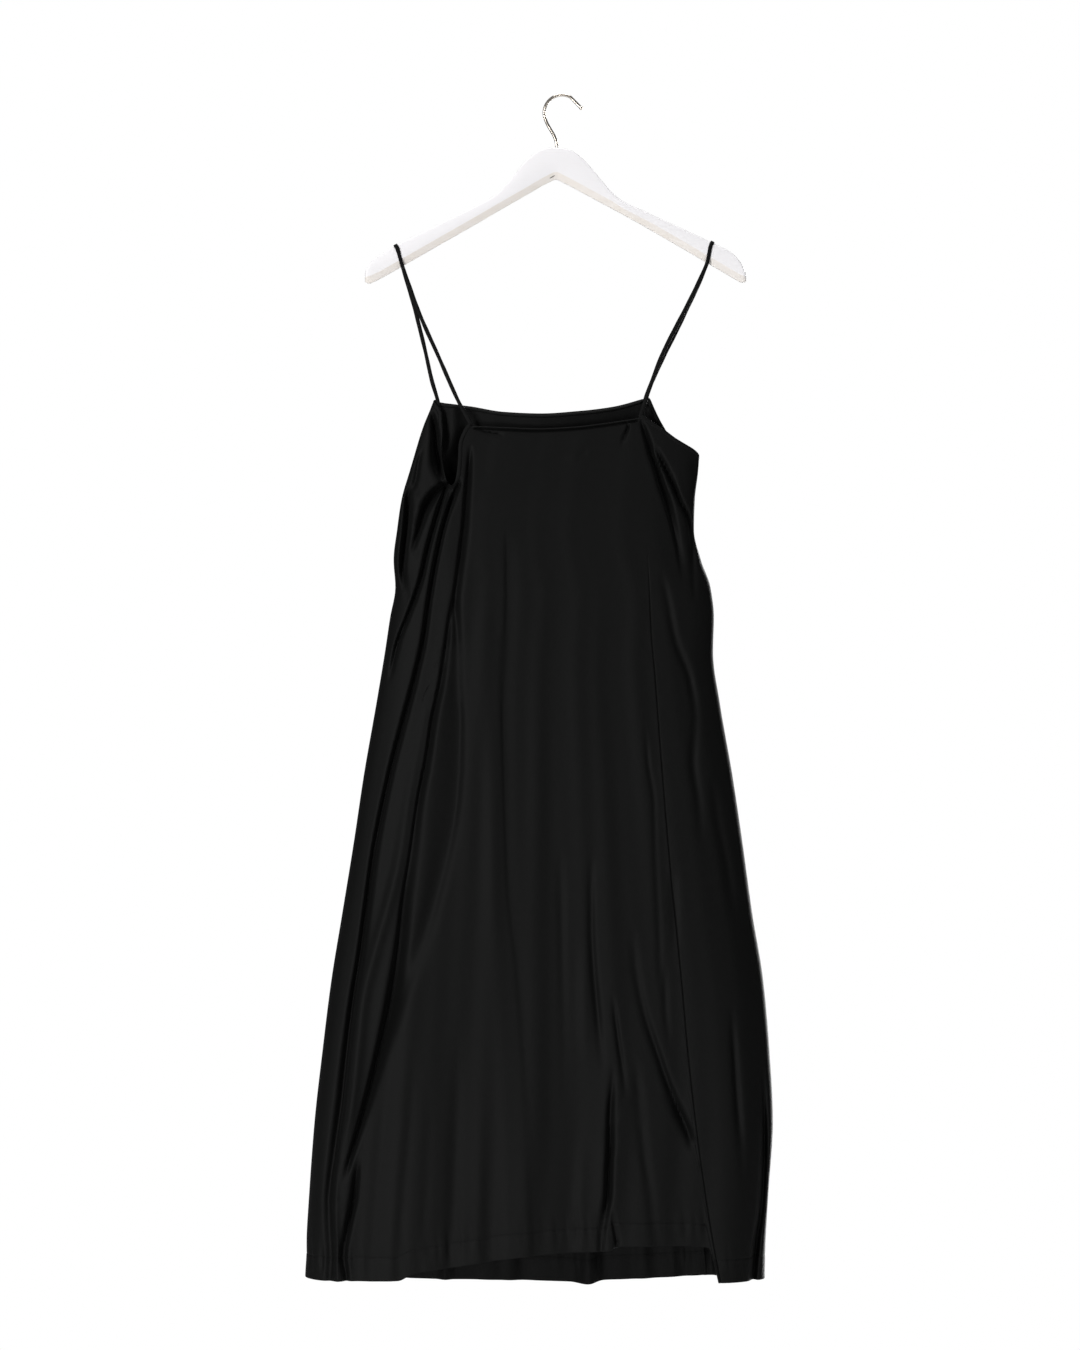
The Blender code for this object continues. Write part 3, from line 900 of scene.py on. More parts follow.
FRONT_LEFT_FOLDS = folds(
    # beside the armhole and along the left edge
    (
        (-150, -362, 2.4, 0), (-148, -374, 2.8, -9), (-146.5, -390, 3.2, -14),
        (-146, -402, 3.8, -17), (-144, -414, 5.2, -20), (-142, -424, 6, -21),
        (-140.5, -433, 5, -17), (-138.5, -441, 4.2, -9), (-136, -449, 3.4, -2), (-134, -457, 3, 0),
    ),
    ((-141, -356, 7, 0), (-141, -380, 7, -3), (-140, -420, 7, -5), (-138, -446, 6, 0)),
    ((-127, -441, 6, 0), (-128, -450, 6.5, -9), (-131, -464, 7, -8), (-138, -488, 5, 0)),
    (
        (-176, -448, 2.6, 0), (-177.5, -462, 3.2, -12), (-178, -480, 3.2, -17),
        (-179.5, -500, 3.2, -18), (-182, -522, 3, -18), (-183.5, -545, 3, -12), (-180, -565, 3, 0),
    ),
    (
        (-128, -441, 3.8, 0), (-134, -446, 5.4, -11), (-140, -451.5, 6.2, -18),
        (-147, -459, 6, -19), (-154, -469, 5.2, -18), (-159, -480, 4, -15), (-163, -494, 3.2, -12),
        (-167, -508, 2.6, -8), (-171, -524, 2.2, 0),
    ),
    ((-162, -408, 2, 0), (-165, -420, 2.2, -4), (-168, -440, 2.4, -5), (-172, -458, 2.2, 0)),
    # two long creases from the foot of the armhole, the second down to the hem
    (
        (-130, -443, 1.9, 0), (-134.5, -453, 2.2, -9.5), (-143.4, -482, 2.3, -12),
        (-153.2, -517, 2.4, -12), (-162.4, -557, 2.5, -10), (-178.6, -603, 2.6, -8),
        (-187.8, -626, 2.6, -8), (-198, -672, 2.8, 0),
    ),
    (
        (-117, -442, 2.2, 0), (-121, -452, 2.5, -9), (-126, -464, 2.4, -12),
        (-131.6, -481, 2.4, -12.5), (-137, -499, 2.4, -12.5), (-144.6, -534, 2.4, -12),
        (-152.6, -580, 2.5, -11.5), (-159, -626, 2.7, -11), (-169.3, -672, 2.9, -10),
        (-181.4, -718, 3.1, -10), (-193.5, -764, 3.2, -10), (-203.9, -810, 3.3, -10),
        (-215.4, -868, 3.5, -10, 0.1), (-224, -926, 3.6, -11, 0.25), (-231, -983, 3.7, -11, 0.1),
        (-240, -1041, 3.8, -12), (-246.5, -1098, 4, -12, -0.2), (-252.5, -1156, 4.2, -12, -0.3),
        (-260.5, -1214, 4.2, -10, -0.2), (-267, -1271, 4.6, -7), (-265, -1329, 5, -6),
        (-266, -1375, 5, -6),
    ),
    # the crease below the strap and its soft run down into the next one
    (
        (-105, -402, 2.2, 0), (-108, -432, 2.8, -7, 0.3), (-110.5, -458, 3.2, -8, 0.4),
        (-113, -494, 3.4, -8, 0.4), (-116.6, -525, 3.6, -8, 0.4), (-120.5, -557, 3.8, -7, 0.4),
        (-123, -580, 4, -7, 0.3), (-121, -626, 5, -5.5, 0), (-120, -672, 7, -4.5, -0.3),
        (-118, -718, 9, -4.5, -0.4), (-119, -764, 10, -4.5, -0.4), (-122, -810, 10, -4.5, -0.4),
        (-132, -868, 10, -4.5, -0.3), (-147, -926, 10, -4.5, -0.2), (-166, -983, 10, -4.5),
        (-186, -1041, 9, -3), (-204, -1098, 8, 0),
    ),
    # the deep crease that holds the seam
    (
        (-124, -575, 3, 0), (-129, -603, 3.2, -6, 0.3), (-139.4, -672, 3.6, -7, 0.5),
        (-149.2, -718, 3.6, -7, 0.5), (-156.1, -764, 3.6, -7, 0.5), (-165, -810, 3.6, -6, 0.5),
        (-172.8, -868, 4.4, -5, 0.5), (-182, -926, 5, -8, 0.5), (-188, -983, 6.5, -12, 0.4),
        (-196.5, -1041, 7, -16, 0.3), (-209.5, -1098, 5.6, -14, 0.3), (-224.5, -1156, 4, -12, 0.2),
        (-241, -1214, 3, -9), (-249, -1242, 3, 0),
    ),
    (
        (-234, -1222, 3, 0), (-236, -1240, 3.2, -8), (-239.6, -1271, 3.4, -12),
        (-248, -1313, 3.4, -9), (-250, -1329, 3.4, -8), (-247, -1359, 3.4, -7),
        (-247, -1375, 3.4, -7),
    ),
    # the ridge between the two long creases
    (
        (-152, -680, 5, 0), (-158.4, -718, 5, 1.2), (-167, -764, 6, 1.6), (-176, -810, 6, 2),
        (-184.3, -868, 7, 3), (-198, -926, 7, 4.4), (-214, -983, 7, 4.6), (-228, -1041, 7, 4.4),
        (-234, -1098, 7, 4.4), (-240, -1156, 5.6, 3.6), (-250, -1214, 4, 0),
    ),
    ((-258, -1230, 3, 0), (-259, -1271, 3, 3), (-257, -1329, 3, 2.5), (-257, -1375, 3, 2)),
)
FRONT_MIDDLE_FOLDS = folds(
    (
        (-64, -498, 7, 0, 0.6), (-63, -540, 7, -1.5, 0.6), (-63, -580, 7, -1.8, 0.6),
        (-67.5, -695, 7, -1.8, 0.6), (-65, -810, 7, -1.3, 0.6), (-60, -926, 7, -1.2, 0.6),
        (-53, -983, 7, -1, 0.5), (-46, -1060, 7, -1, 0.5), (-38, -1180, 8, -1.3, 0.4),
        (-30, -1375, 9, -1.6, 0.4),
    ),
    (
        (-90, -560, 9, 0), (-88, -640, 10, 1), (-86, -695, 10, 1.2), (-82, -810, 10, 1.4),
        (-78, -926, 10, 1.4), (-74, -983, 10, 1.4), (-71, -1060, 10, 1.4), (-68, -1180, 10, 1.4),
        (-64, -1375, 11, 1.4),
    ),
    (
        (-2, -860, 5, 0), (-1, -926, 5, -1.8), (0, -983, 5, -1.6), (2, -1080, 6, -1),
        (4, -1200, 6, 0),
    ),
    (
        (35, -868, 4, 0), (33, -915, 4, -2.4), (33.5, -960, 4, -3.2), (36, -1005, 4, -3.6),
        (40, -1050, 4, -3.8), (43, -1086, 4, -1.6), (46, -1120, 4, 0),
    ),
    ((26, -960, 7, 0), (25, -1041, 7, 2), (26, -1115, 7, 0)),
    (
        (59, -1035, 3, 0), (61, -1060, 3, -3), (65, -1090, 3, -3.4), (70, -1125, 3, -2.4),
        (73, -1150, 3, 0),
    ),
    (
        (58, -1112, 3, 0), (57, -1135, 3.4, -3), (55, -1165, 3.6, -8), (54.6, -1190, 3.8, -10),
        (54.4, -1213, 3.8, -12), (53.4, -1225, 3.8, -12), (52.3, -1260, 3.8, -12),
        (46.5, -1294, 4, -6), (44, -1330, 4, -4), (44, -1375, 4, -4),
    ),
    (
        (57, -1275, 2.4, 0), (59.2, -1294, 2.4, -4), (62, -1312, 2.4, -6), (60.4, -1328, 2.4, -5),
        (60, -1375, 2.4, -4),
    ),
    (
        (84, -1105, 5, 0), (88, -1156, 5, -3), (94, -1214, 5, -2.8), (102, -1270, 6, -2),
        (110, -1340, 7, -2), (112, -1375, 7, -2),
    ),
    ((-194, -1090, 9, 0), (-205, -1180, 9, 2.2), (-213, -1270, 9, 2), (-220, -1375, 9, 2)),
    ((-168, -1080, 6, 0), (-175, -1180, 6, -1.6), (-184, -1290, 6, -2.2), (-188, -1375, 7, -2)),
    ((-118, -1060, 7, 0), (-123, -1220, 8, -3), (-128, -1375, 9, -3.5)),
    ((-150, -1120, 6, 0), (-156, -1260, 7, -2), (-164, -1375, 7, -2)),
    ((-92, -1150, 6, 0), (-94, -1260, 7, 1.6), (-94, -1375, 8, 2)),
    ((24, -1180, 6, 0), (21, -1270, 7, 2), (20, -1375, 8, 2.4)),
)
FRONT_RIGHT_FOLDS = folds(
    (
        (80, -955, 5, 0), (84, -1000, 5, -2.2), (92, -1045, 4.6, -3), (110, -1102, 4.4, -5),
        (125, -1145, 4.4, -8), (136, -1172, 4.6, -11), (144, -1190, 4, -10), (148, -1204, 3, 0),
    ),
    ((117, -985, 4, 0), (118, -1041, 4, -2.2), (122, -1092, 4, 0)),
    (
        (91, -372, 2.2, 0), (95, -388, 2.8, -7, 0.2), (97.5, -396, 3, -9, 0.2),
        (102.5, -413, 3.2, -10, 0.1), (108.5, -430, 3.3, -11, 0.1), (113.3, -448, 3.6, -12, 0.2),
        (119, -465, 4, -11, 0.3), (125.4, -488, 4, -8, 0.35), (132, -517, 4, -5, 0.4),
        (139, -560, 5, 0, 0.4),
    ),
    (
        (107, -404, 2.2, 0), (112, -414, 2.6, -6), (119.5, -430, 2.8, -10), (127.8, -448, 2.8, -11),
        (134.7, -465, 2.8, -9), (146, -488, 2.8, -8), (150, -515, 2.8, -6), (150.5, -545, 3, -3),
        (152, -582, 3, 0),
    ),
    ((150, -412, 7, 0), (160, -440, 8, -4), (166, -475, 8, -4), (168, -520, 7, 0)),
    # beside the strap's end
    (
        (76.5, -376, 1.5, 0), (76, -381, 1.6, -3.4), (73.5, -388, 1.7, -4), (70.5, -395, 1.7, -3),
        (68, -400, 1.8, 0),
    ),
    (
        (114, -548, 4, 0), (121, -580, 4.5, -2.4), (130, -626, 4.5, -3.2), (147, -672, 4.5, -3.6),
        (153, -718, 5, -2.4), (150, -764, 5, -3.2), (156, -810, 5, -2.4), (160, -872, 6, 0),
    ),
    (
        (96, -728, 3, 0), (98, -764, 3, -1.6), (105, -810, 3, -1.4), (106.5, -868, 3.4, -1.4),
        (111.5, -983, 4, -1.6), (112, -1032, 4, 0),
    ),
    ((128, -880, 5, 0), (128, -926, 5, -2.2), (129, -988, 5, 0)),
    ((172, -780, 6, 0), (178, -830, 6, -3), (190, -893, 6, -3), (197, -950, 6, 0)),
    (
        (194, -1045, 4, 0), (197, -1098, 4, -4), (200.5, -1156, 4.4, -5), (205, -1215, 5, -2),
        (207, -1262, 5, 0),
    ),
    (
        (231, -1118, 3.4, 0), (232, -1156, 3.6, -6), (232.7, -1214, 4, -14), (230.4, -1271, 4, -14),
        (222.3, -1329, 4, -14), (218, -1375, 4, -13),
    ),
)
BACK_FOLDS = folds(
    (
        (80, -378, 3, 0), (84, -430, 3, -6), (92, -560, 3.6, -8), (104, -680, 4.4, -6),
        (120, -800, 6, -3), (130, -905, 8, 0),
    ),
    (
        (124, -450, 3, 0), (127, -490, 3, -8), (140, -640, 3.2, -10), (150, -770, 3.4, -9),
        (160, -930, 4, -11), (170, -1070, 4.4, -12), (178, -1230, 4.6, -12), (184, -1375, 5, -12),
    ),
    (
        (40, -520, 5, 0), (46, -600, 5, -3), (58, -800, 6, -6), (68, -960, 5, -9),
        (78, -1090, 5, -10), (88, -1240, 6, -9), (93, -1330, 9, -6), (96, -1376, 10, -5),
    ),
    ((-10, -500, 10, 0), (-2, -790, 12, 4), (6, -1080, 14, 6), (16, -1375, 18, 6)),
    (
        (-56, -600, 4, 0), (-54, -760, 5, -5), (-57, -900, 5, -9), (-64, -1120, 4.4, -11),
        (-62, -1250, 6, -10), (-60, -1330, 9, -7), (-60, -1376, 10, -5),
    ),
    (
        (-124, -446, 3, 0), (-120, -484, 3.2, -4), (-116, -540, 3.6, -7), (-120, -700, 5, -5),
        (-134, -862, 8, 0),
    ),
    (
        (-138, -430, 3, 0), (-141, -480, 3, -8), (-150, -640, 3.2, -11), (-158, -760, 3.6, -11),
        (-170, -920, 4, -12), (-182, -1070, 4.4, -13), (-194, -1230, 4.6, -12),
        (-206, -1375, 5, -12),
    ),
    ((-108, -890, 5, 0), (-118, -1060, 5, -6), (-130, -1220, 5, -9), (-136, -1375, 6, -8)),
    ((30, -980, 6, 0), (32, -1180, 8, -5), (31, -1310, 12, -12, -0.1), (31, -1376, 13, -16, -0.1)),
    ((136, -1010, 6, 0), (140, -1190, 7, 3), (142, -1375, 8, 3.5)),
    ((-20, -392, 7, 0), (-34, -470, 8, -2), (-52, -560, 9, 0)),
    ((62, -370, 6, 0), (44, -430, 7, -2), (20, -522, 8, 0)),
    # the neckline sags forwards between the straps
    ((-20, -330, 90, -15), (-20, -367, 90, -15), (-20, -400, 95, -11), (-20, -470, 100, 0)),
    # inside the left armhole: near at its top, hollow below
    ((-125, -340, 9, -5), (-125, -378, 9, -6), (-128, -402, 7, -4), (-131, -420, 6, 0)),
    (
        (-110, -380, 6, 0), (-113, -398, 9, 7), (-118, -425, 12, 9), (-120, -450, 12, 5),
        (-121, -480, 8, 0),
    ),
)
TUCKS = (
    Tuck(Side.FRONT, (-98, -384), (-64, -391), 1.4, -2.2),
    Tuck(Side.FRONT, (-30, -424.5), (14, -417.5), 2.6, -0.8),
    Tuck(Side.FRONT, (-176, -446), (-160, -462), 1.8, -1.8),
    Tuck(Side.FRONT, (-175, -468), (-165, -486), 1.8, -1.6),
    Tuck(Side.FRONT, (-178, -497), (-167, -489), 2.0, 1.4),
    Tuck(Side.FRONT, (-176, -514), (-164, -532), 2.2, -1.8),
    Tuck(Side.FRONT, (-184, -556), (-174, -584), 2.4, -1.8),
    Tuck(Side.FRONT, (-172, -560), (-166, -590), 2.2, -1.2),
    Tuck(Side.FRONT, (14, -417.5), (32, -409), 2.6, -0.8),
)
RIPPLES = (
    Ripple(29.0, 0.0040, 0.4, 0.30),
    Ripple(47.0, -0.0030, 2.1, 0.60),
    Ripple(71.0, 0.0020, 4.0, 0.80),
    Ripple(113.0, 0.0060, 1.3, 1.30),
)


@dataclass
class Tube:
    """The form of the hanging dress. Ripples start at a height and grow down to another."""

    levels: tuple[Level, ...] = LEVELS
    seams: tuple[SeamRow, ...] = SEAMS
    front_folds: tuple[Fold, ...] = (*FRONT_LEFT_FOLDS, *FRONT_MIDDLE_FOLDS, *FRONT_RIGHT_FOLDS)
    back_folds: tuple[Fold, ...] = BACK_FOLDS
    tucks: tuple[Tuck, ...] = TUCKS
    tuck_fade: float = 0.35
    ripples: tuple[Ripple, ...] = RIPPLES
    ripple_least: float = 0.15
    ripple_top: float = -430.0
    ripple_full: float = -950.0
    ripple_run: float = 300.0
    ripple_width: float = 500.0
    ripple_sway: Wave = Wave(0.25, 140.0)
    side_rounding: float = 5.5
    side_hold: float = 2.2
    probe_turn: float = 0.0006
    probe_height: float = 0.4

    def level(self, name: str, z: Array) -> Array:
        """One measure of the tube at heights."""
        return smooth(column(self.levels, "z"), column(self.levels, name), z)

    def sides(self, z: Array) -> tuple[Array, Array]:
        """The middle between the tube's two sides, and half the way from one to the other."""
        left = self.level("left", z)
        right = self.level("right", z)
        return (left + right) / 2, (right - left) / 2

    def push(self, side: Side, x: Array, z: Array) -> Array:
        """How far the folds, tucks and ripples of one side move the cloth outwards."""
        x, z = np.broadcast_arrays(x, z)
        moved = self.rippled(x, z)
        for fold in self.front_folds if side is Side.FRONT else self.back_folds:
            rows = np.array([(at.z, at.x, at.wide, at.push, at.lean) for at in reversed(fold)])
            live = (z > rows[0, 0]) & (z < rows[-1, 0])
            centre, wide, push, lean = (
                smooth(rows[:, 0], values, z[live]) for values in rows.T[1:]
            )
            off = x[live] - centre
            moved[live] += push * bell(off, wide * (1 + lean * np.sign(off)))
        for tuck in self.tucks:
            if tuck.side is side:
                moved += self.tucked(tuck, x, z)
        return moved

    def tucked(self, tuck: Tuck, x: Array, z: Array) -> Array:
        """How far one tuck moves the cloth outwards."""
        run = tuck.end[0] - tuck.start[0]
        rise = tuck.end[1] - tuck.start[1]
        length = math.hypot(run, rise)
        along = ((x - tuck.start[0]) * run + (z - tuck.start[1]) * rise) / length**2
        off = ((x - tuck.start[0]) * rise - (z - tuck.start[1]) * run) / length
        faded = ease(along / self.tuck_fade) * ease((1 - along) / self.tuck_fade)
        return tuck.push * faded * bell(off, tuck.wide)

    def rippled(self, x: Array, z: Array) -> Array:
        """How far the ripples move the cloth outwards."""
        share = (self.ripple_top - z) / (self.ripple_top - self.ripple_full)
        grown = self.ripple_least + (1 - self.ripple_least) * ease(share)
        grown = grown + ease((self.ripple_full - z) / self.ripple_run)
        middle, half = self.sides(z)
        fanned = (x - middle) / (2 * half) * self.ripple_width
        moved = np.zeros(x.shape)
        for wave in self.ripples:
            angle = 2 * math.pi * (fanned / wave.length + wave.slant * z / 10) + wave.phase
            sway = replace(self.ripple_sway, phase=3 * wave.phase)
            uneven = 1 - sway.height + sway.at(z)
            moved += wave.height * grown * uneven * np.sin(angle)
        return moved

    def folded(self, turn: Array, x: Array, z: Array) -> Array:
        """How far the cloth is moved outwards at turns; it dies out at the very sides."""
        in_front = np.sin(math.pi * turn) > 0
        moved = np.where(in_front, self.push(Side.FRONT, x, z), self.push(Side.BACK, x, z))
        return moved * np.minimum(1.0, self.side_hold * self.round_off(turn))

    def round_off(self, turn: Array) -> Array:
        """How the tube's depth falls off towards its two sides, from 1 to 0."""
        across = np.abs(np.cos(math.pi * turn))
        return np.sqrt(np.maximum(1 - across**self.side_rounding, 0.0))

    def ring(self, turn: Array, z: Array) -> Array:
        """Points of the outer face, in millimetres, at turns and heights."""
        middle, half = self.sides(z)
        x = middle - np.cos(math.pi * turn) * half
        in_front = np.sin(math.pi * turn) > 0
        depth = np.where(in_front, self.level("front", z), self.level("back", z))
        out = depth * self.round_off(turn) + self.folded(turn, x, z)
        return np.stack([x, np.where(in_front, -out, out), z + 0 * x], axis=-1)

    def sideways(self, turn: Array, z: Array) -> Array:
        """The short way round the ring from just before each point to just after it."""
        return self.ring(turn + self.probe_turn, z) - self.ring(turn - self.probe_turn, z)

    def outward(self, turn: Array, z: Array) -> Array:
        """Unit vectors that point out of the cloth."""
        upwards = self.ring(turn, z + self.probe_height) - self.ring(turn, z - self.probe_height)
        return unit(np.cross(self.sideways(turn, z), upwards))

    def speed(self, turn: Array, z: Array) -> Array:
        """Millimetres of cloth round the ring for one unit of turn."""
        return np.linalg.norm(self.sideways(turn, z), axis=-1) / (2 * self.probe_turn)

    def turn_at(self, side: Side, x: Array, z: Array) -> Array:
        """The turn of a point given by its x on one side."""
        middle, half = self.sides(z)
        turn = np.arccos(-np.clip((x - middle) / half, -1.0, 1.0)) / math.pi
        return turn if side is Side.FRONT else 2 - turn

    def seam_turn(self, name: str, z: Array) -> Array:
        """The turn of a seam at heights."""
        x = smooth(column(self.seams, "z"), column(self.seams, name), z)
        return self.turn_at(Side.FRONT if name.startswith("front") else Side.BACK, x, z)


# ---------------------------------------------------------------- panels


@dataclass
class Line:
    """A line of points on the cloth with the way out at each, in millimetres."""

    points: Array
    out: Array


@dataclass(frozen=True)
class Pucker:
    """Small sharp waves above the hem: their length for one radian, start and slant."""

    length: float
    phase: float
    slant: float

    def at(self, x: Array, z: Array) -> Array:
        """The pucker at places, from 0 to 1."""
        return (0.5 + 0.5 * np.sin(x / self.length + self.phase + self.slant * z)) ** 3


@dataclass(frozen=True)
class Sewing:
    """How sewing moves the cloth: at its seams, the rolled neckline and the turned-up hem."""

    seam_half: float = 0.6
    laps: tuple[float, ...] = (-0.8, -0.05)
    lap_sink: float = 0.15
    drawn: tuple[Wave, ...] = (Wave(0.10, 4.6), Wave(0.08, 8.3, 1.0))
    drawn_off: float = 2.0
    drawn_half: float = 3.0
    roll_rise: float = 1.4
    roll_width: float = 2.1
    roll_groove: float = 3.4
    roll_groove_off: float = 2.95
    roll_groove_half: float = 0.85
    roll_off: float = 0.6
    roll_run: float = 5.0
    hem_depth: float = 27.0
    hem_thickness: float = 0.55
    hem_thick_off: float = 0.4
    hem_thick_run: float = 0.5
    hem_rise: float = 0.2
    hem_run: float = 1.2
    hem_groove: float = 0.35
    hem_groove_half: float = 0.9
    puckers: tuple[Pucker, ...] = (Pucker(1.95, 0.0, 0.02), Pucker(3.3, 1.9, -0.015))
    pucker_share: float = 0.55
    pucker_sway: Wave = Wave(0.45, 23.0, 1.1)
    pucker_off: float = 25.0
    pucker_half: float = 15.0

    def rolled(self, below: Array, seam: Array) -> Array:
        """The neckline's roll and the groove under it, at ways below the edge and off a seam."""
        roll = self.roll_rise * np.sin(math.pi * np.clip(below / self.roll_width, 0.0, 1.0))
        roll -= self.roll_groove * bell(below - self.roll_groove_off, self.roll_groove_half)
        return roll * ease((seam - self.roll_off) / self.roll_run)

    def turned_up(self, above: Array) -> Array:
        """How much thicker the hem's turn-up makes the cloth, above the edge."""
        return self.hem_thickness * ease(
            (self.hem_depth - self.hem_thick_off - above) / self.hem_thick_run
        )

    def hemmed(self, above: Array, x: Array, z: Array) -> Array:
        """The hem's turn-up, the groove of its stitches and its puckers, above the edge."""
        moved = self.hem_rise * ease((self.hem_depth - above) / self.hem_run)
        moved -= self.hem_groove * bell(above - self.hem_depth, self.hem_groove_half)
        puckers = sum(pucker.at(x, z) for pucker in self.puckers)
        uneven = self.pucker_share + self.pucker_sway.at(x)
        return moved - puckers * uneven * bell(above - self.pucker_off, self.pucker_half)


@dataclass
class Panel:
    """One cut panel of the dress, as a thin shell of crepe with its seams and hem.

    Its grid has columns from the first seam to the second and rows from top to hem. Insets are
    ways in from a seam, head and foot are ways from the top edge and the hem.
    """

    tube: Tube
    name: str
    starts: str
    ends: str
    top: tuple[Edge, ...]
    hem: tuple[Edge, ...]
    columns: int
    rolled: bool
    sewing: Sewing = Sewing()
    rows: int = 150
    row_spread: float = 1.3
    edge_pull: float = 0.35
    edge_pull_end: float = 0.3
    fold_pull: float = 0.5
    guides: int = 26
    fineness: int = 1200
    turn_slack: float = 0.02
    thickness: float = 0.8
    sharp: float = 70.0
    ridge_highlight_height: float = 7.0
    insets: tuple[float, ...] = (0.01, 0.3, 0.6, 1.0, 1.6, 3.0)
    head: tuple[float, ...] = (
        0.0, 0.25, 0.7, 1.2, 1.6, 1.95, 2.3, 2.7, 3.1, 3.6, 4.2, 5.0, 6.2, 7.6,
    )
    foot: tuple[float, ...] = (
        29.5, 28.4, 27.7, 27.2, 26.6, 25.6, 24.0, 21.5, 19.0, 16.5, 14.0, 11.5, 9.0, 6.5, 4.2,
        2.4, 1.2, 0.5, 0.0,
    )
    rim: tuple[tuple[int, float], ...] = ((0, 0.45), (1, 0.85), (-1, 0.45), (-2, 0.85))
    turn: Array = field(init=False)
    z: Array = field(init=False)
    shares: Array = field(init=False)
    outer: Array = field(init=False)
    inner: Array = field(init=False)
    out: Array = field(init=False)

    def seam_turns(self, z: Array) -> tuple[Array, Array]:
        """The turns of the panel's two seams, the second after the first."""
        starts = self.tube.seam_turn(self.starts, z)
        ends = self.tube.seam_turn(self.ends, z)
        return starts, ends + 2 * (ends < starts)

    def ring_at(self, shares: Array, z: Array) -> Array:
        """Points of the outer face at shares of the way across."""
        starts, ends = self.seam_turns(z)
        return self.tube.ring(starts + (ends - starts) * shares, z)

    def edge_heights(self, table: tuple[Edge, ...], shares: Array) -> Array:
        """Heights of a cut edge at shares of the way across."""
        places = []
        for row in table:
            z = np.array(float(row.z))
            starts, ends = self.seam_turns(z)
            if row.side is Side.EDGE:
                turn = np.array(1.0 if row.x > 0 else 2.0)
            else:
                turn = self.tube.turn_at(row.side, np.array(float(row.x)), z)
            turn = turn + 2 * (turn < starts - self.turn_slack)
            places.append(float(np.clip((turn - starts) / (ends - starts), 0.0, 1.0)))
        places[0] = 0.0
        places[-1] = 1.0
        return smooth(np.array(places), column(table, "z"), shares)

    def column_shares(self) -> Array:
        """Shares of the columns at even drops from the top edge to the hem.

        Returns:
            One row for each drop, its columns closer at folds and below a steep top edge.
        """
        fine = np.linspace(0.0, 1.0, self.fineness)
        top = self.edge_heights(self.top, fine)
        hem = self.edge_heights(self.hem, fine)
        along_edge = run_length(self.ring_at(fine, top))
        along_edge /= along_edge[-1]
        drops = np.linspace(0.0, 1.0, self.guides)
        pulls = []
        for drop in drops:
            depth = self.ring_at(fine, top + (hem - top) * drop)[:, 1]
            pull = np.concatenate([[0.0], np.cumsum(np.abs(np.diff(depth)) + 1e-6)])
            pulls.append(pull / pull[-1])
        pulls = np.array(pulls)
        pulls[1:-1] = (pulls[:-2] + 2 * pulls[1:-1] + pulls[2:]) / 4
        even = np.linspace(0.0, 1.0, self.columns + 1)
        rows = []
        for drop, pull in zip(drops, pulls):
            edge_pull = self.edge_pull * (1 - float(ease(drop / self.edge_pull_end)))
            spread = (1 - edge_pull - self.fold_pull) * fine
            spread += edge_pull * along_edge + self.fold_pull * pull
            rows.append(np.interp(even, spread, fine))
        return np.array(rows)

    def lay_out(self) -> None:
        """Work out the turns and heights of the panel's grid."""
        head = np.array(self.head)
        foot = np.array(self.foot)
        laps = self.sewing.laps
        between = np.linspace(0.0, 1.0, self.rows + 1)[1:-1] ** self.row_spread
        drop = np.concatenate([0 * head, between, 0 * foot + 1])
        guides = self.column_shares()
        place = drop * (len(guides) - 1)
        low = np.minimum(place.astype(int), len(guides) - 2)
        part = (place - low)[:, None]
        inner = (guides[low] * (1 - part) + guides[low + 1] * part).T
        edges = len(self.insets) - 1
        first = np.zeros((len(laps) + edges, len(place)))
        self.shares = np.concatenate([first, inner, np.ones((edges, len(place)))])
        top = self.edge_heights(self.top, self.shares)
        hem = self.edge_heights(self.hem, self.shares)
        self.z = top - head[-1] + (hem + foot[0] - top + head[-1]) * drop
        self.z[:, : len(head)] = top[:, : len(head)] - head
        self.z[:, -len(foot) :] = hem[:, -len(foot) :] + foot
        starts, ends = self.seam_turns(self.z)
        per_mm_start = 1 / self.tube.speed(starts, self.z)
        per_mm_end = 1 / self.tube.speed(ends, self.z)
        low_turn = starts + self.insets[-1] * per_mm_start
        high_turn = ends - self.insets[-1] * per_mm_end
        self.turn = low_turn + (high_turn - low_turn) * self.shares
        for k, near in enumerate((*laps, *self.insets)):
            self.turn[k] = starts[k] + near * per_mm_start[k]
        for k, near in enumerate(self.insets):
            self.turn[-1 - k] = ends[-1 - k] - near * per_mm_end[-1 - k]

    def relief(self, x: Array) -> Array:
        """How far sewing moves the cloth outwards: seam ditches, rolled edge and hem."""
        sewing = self.sewing
        drawn = sum(wave.at(self.z) for wave in sewing.drawn)
        moved = np.zeros(self.z.shape)
        seam = np.full(self.z.shape, np.inf)
        starts, ends = self.seam_turns(self.z)
        for name, turn, way in ((self.starts, starts, 1), (self.ends, ends, -1)):
            off = way * (self.turn - turn) * self.tube.speed(turn, self.z)
            swung = drawn * bell(off - sewing.drawn_off, sewing.drawn_half)
            moved += SEAM_DITCHES[name].depth_at(self.z) * (swung - bell(off, sewing.seam_half))
            seam = np.minimum(seam, np.abs(off))
        moved[0] -= sewing.lap_sink
        if self.rolled:
            moved += sewing.rolled(self.z[:, :1] - self.z, seam)
        return moved + sewing.hemmed(self.z - self.z[:, -1:], x, self.z)

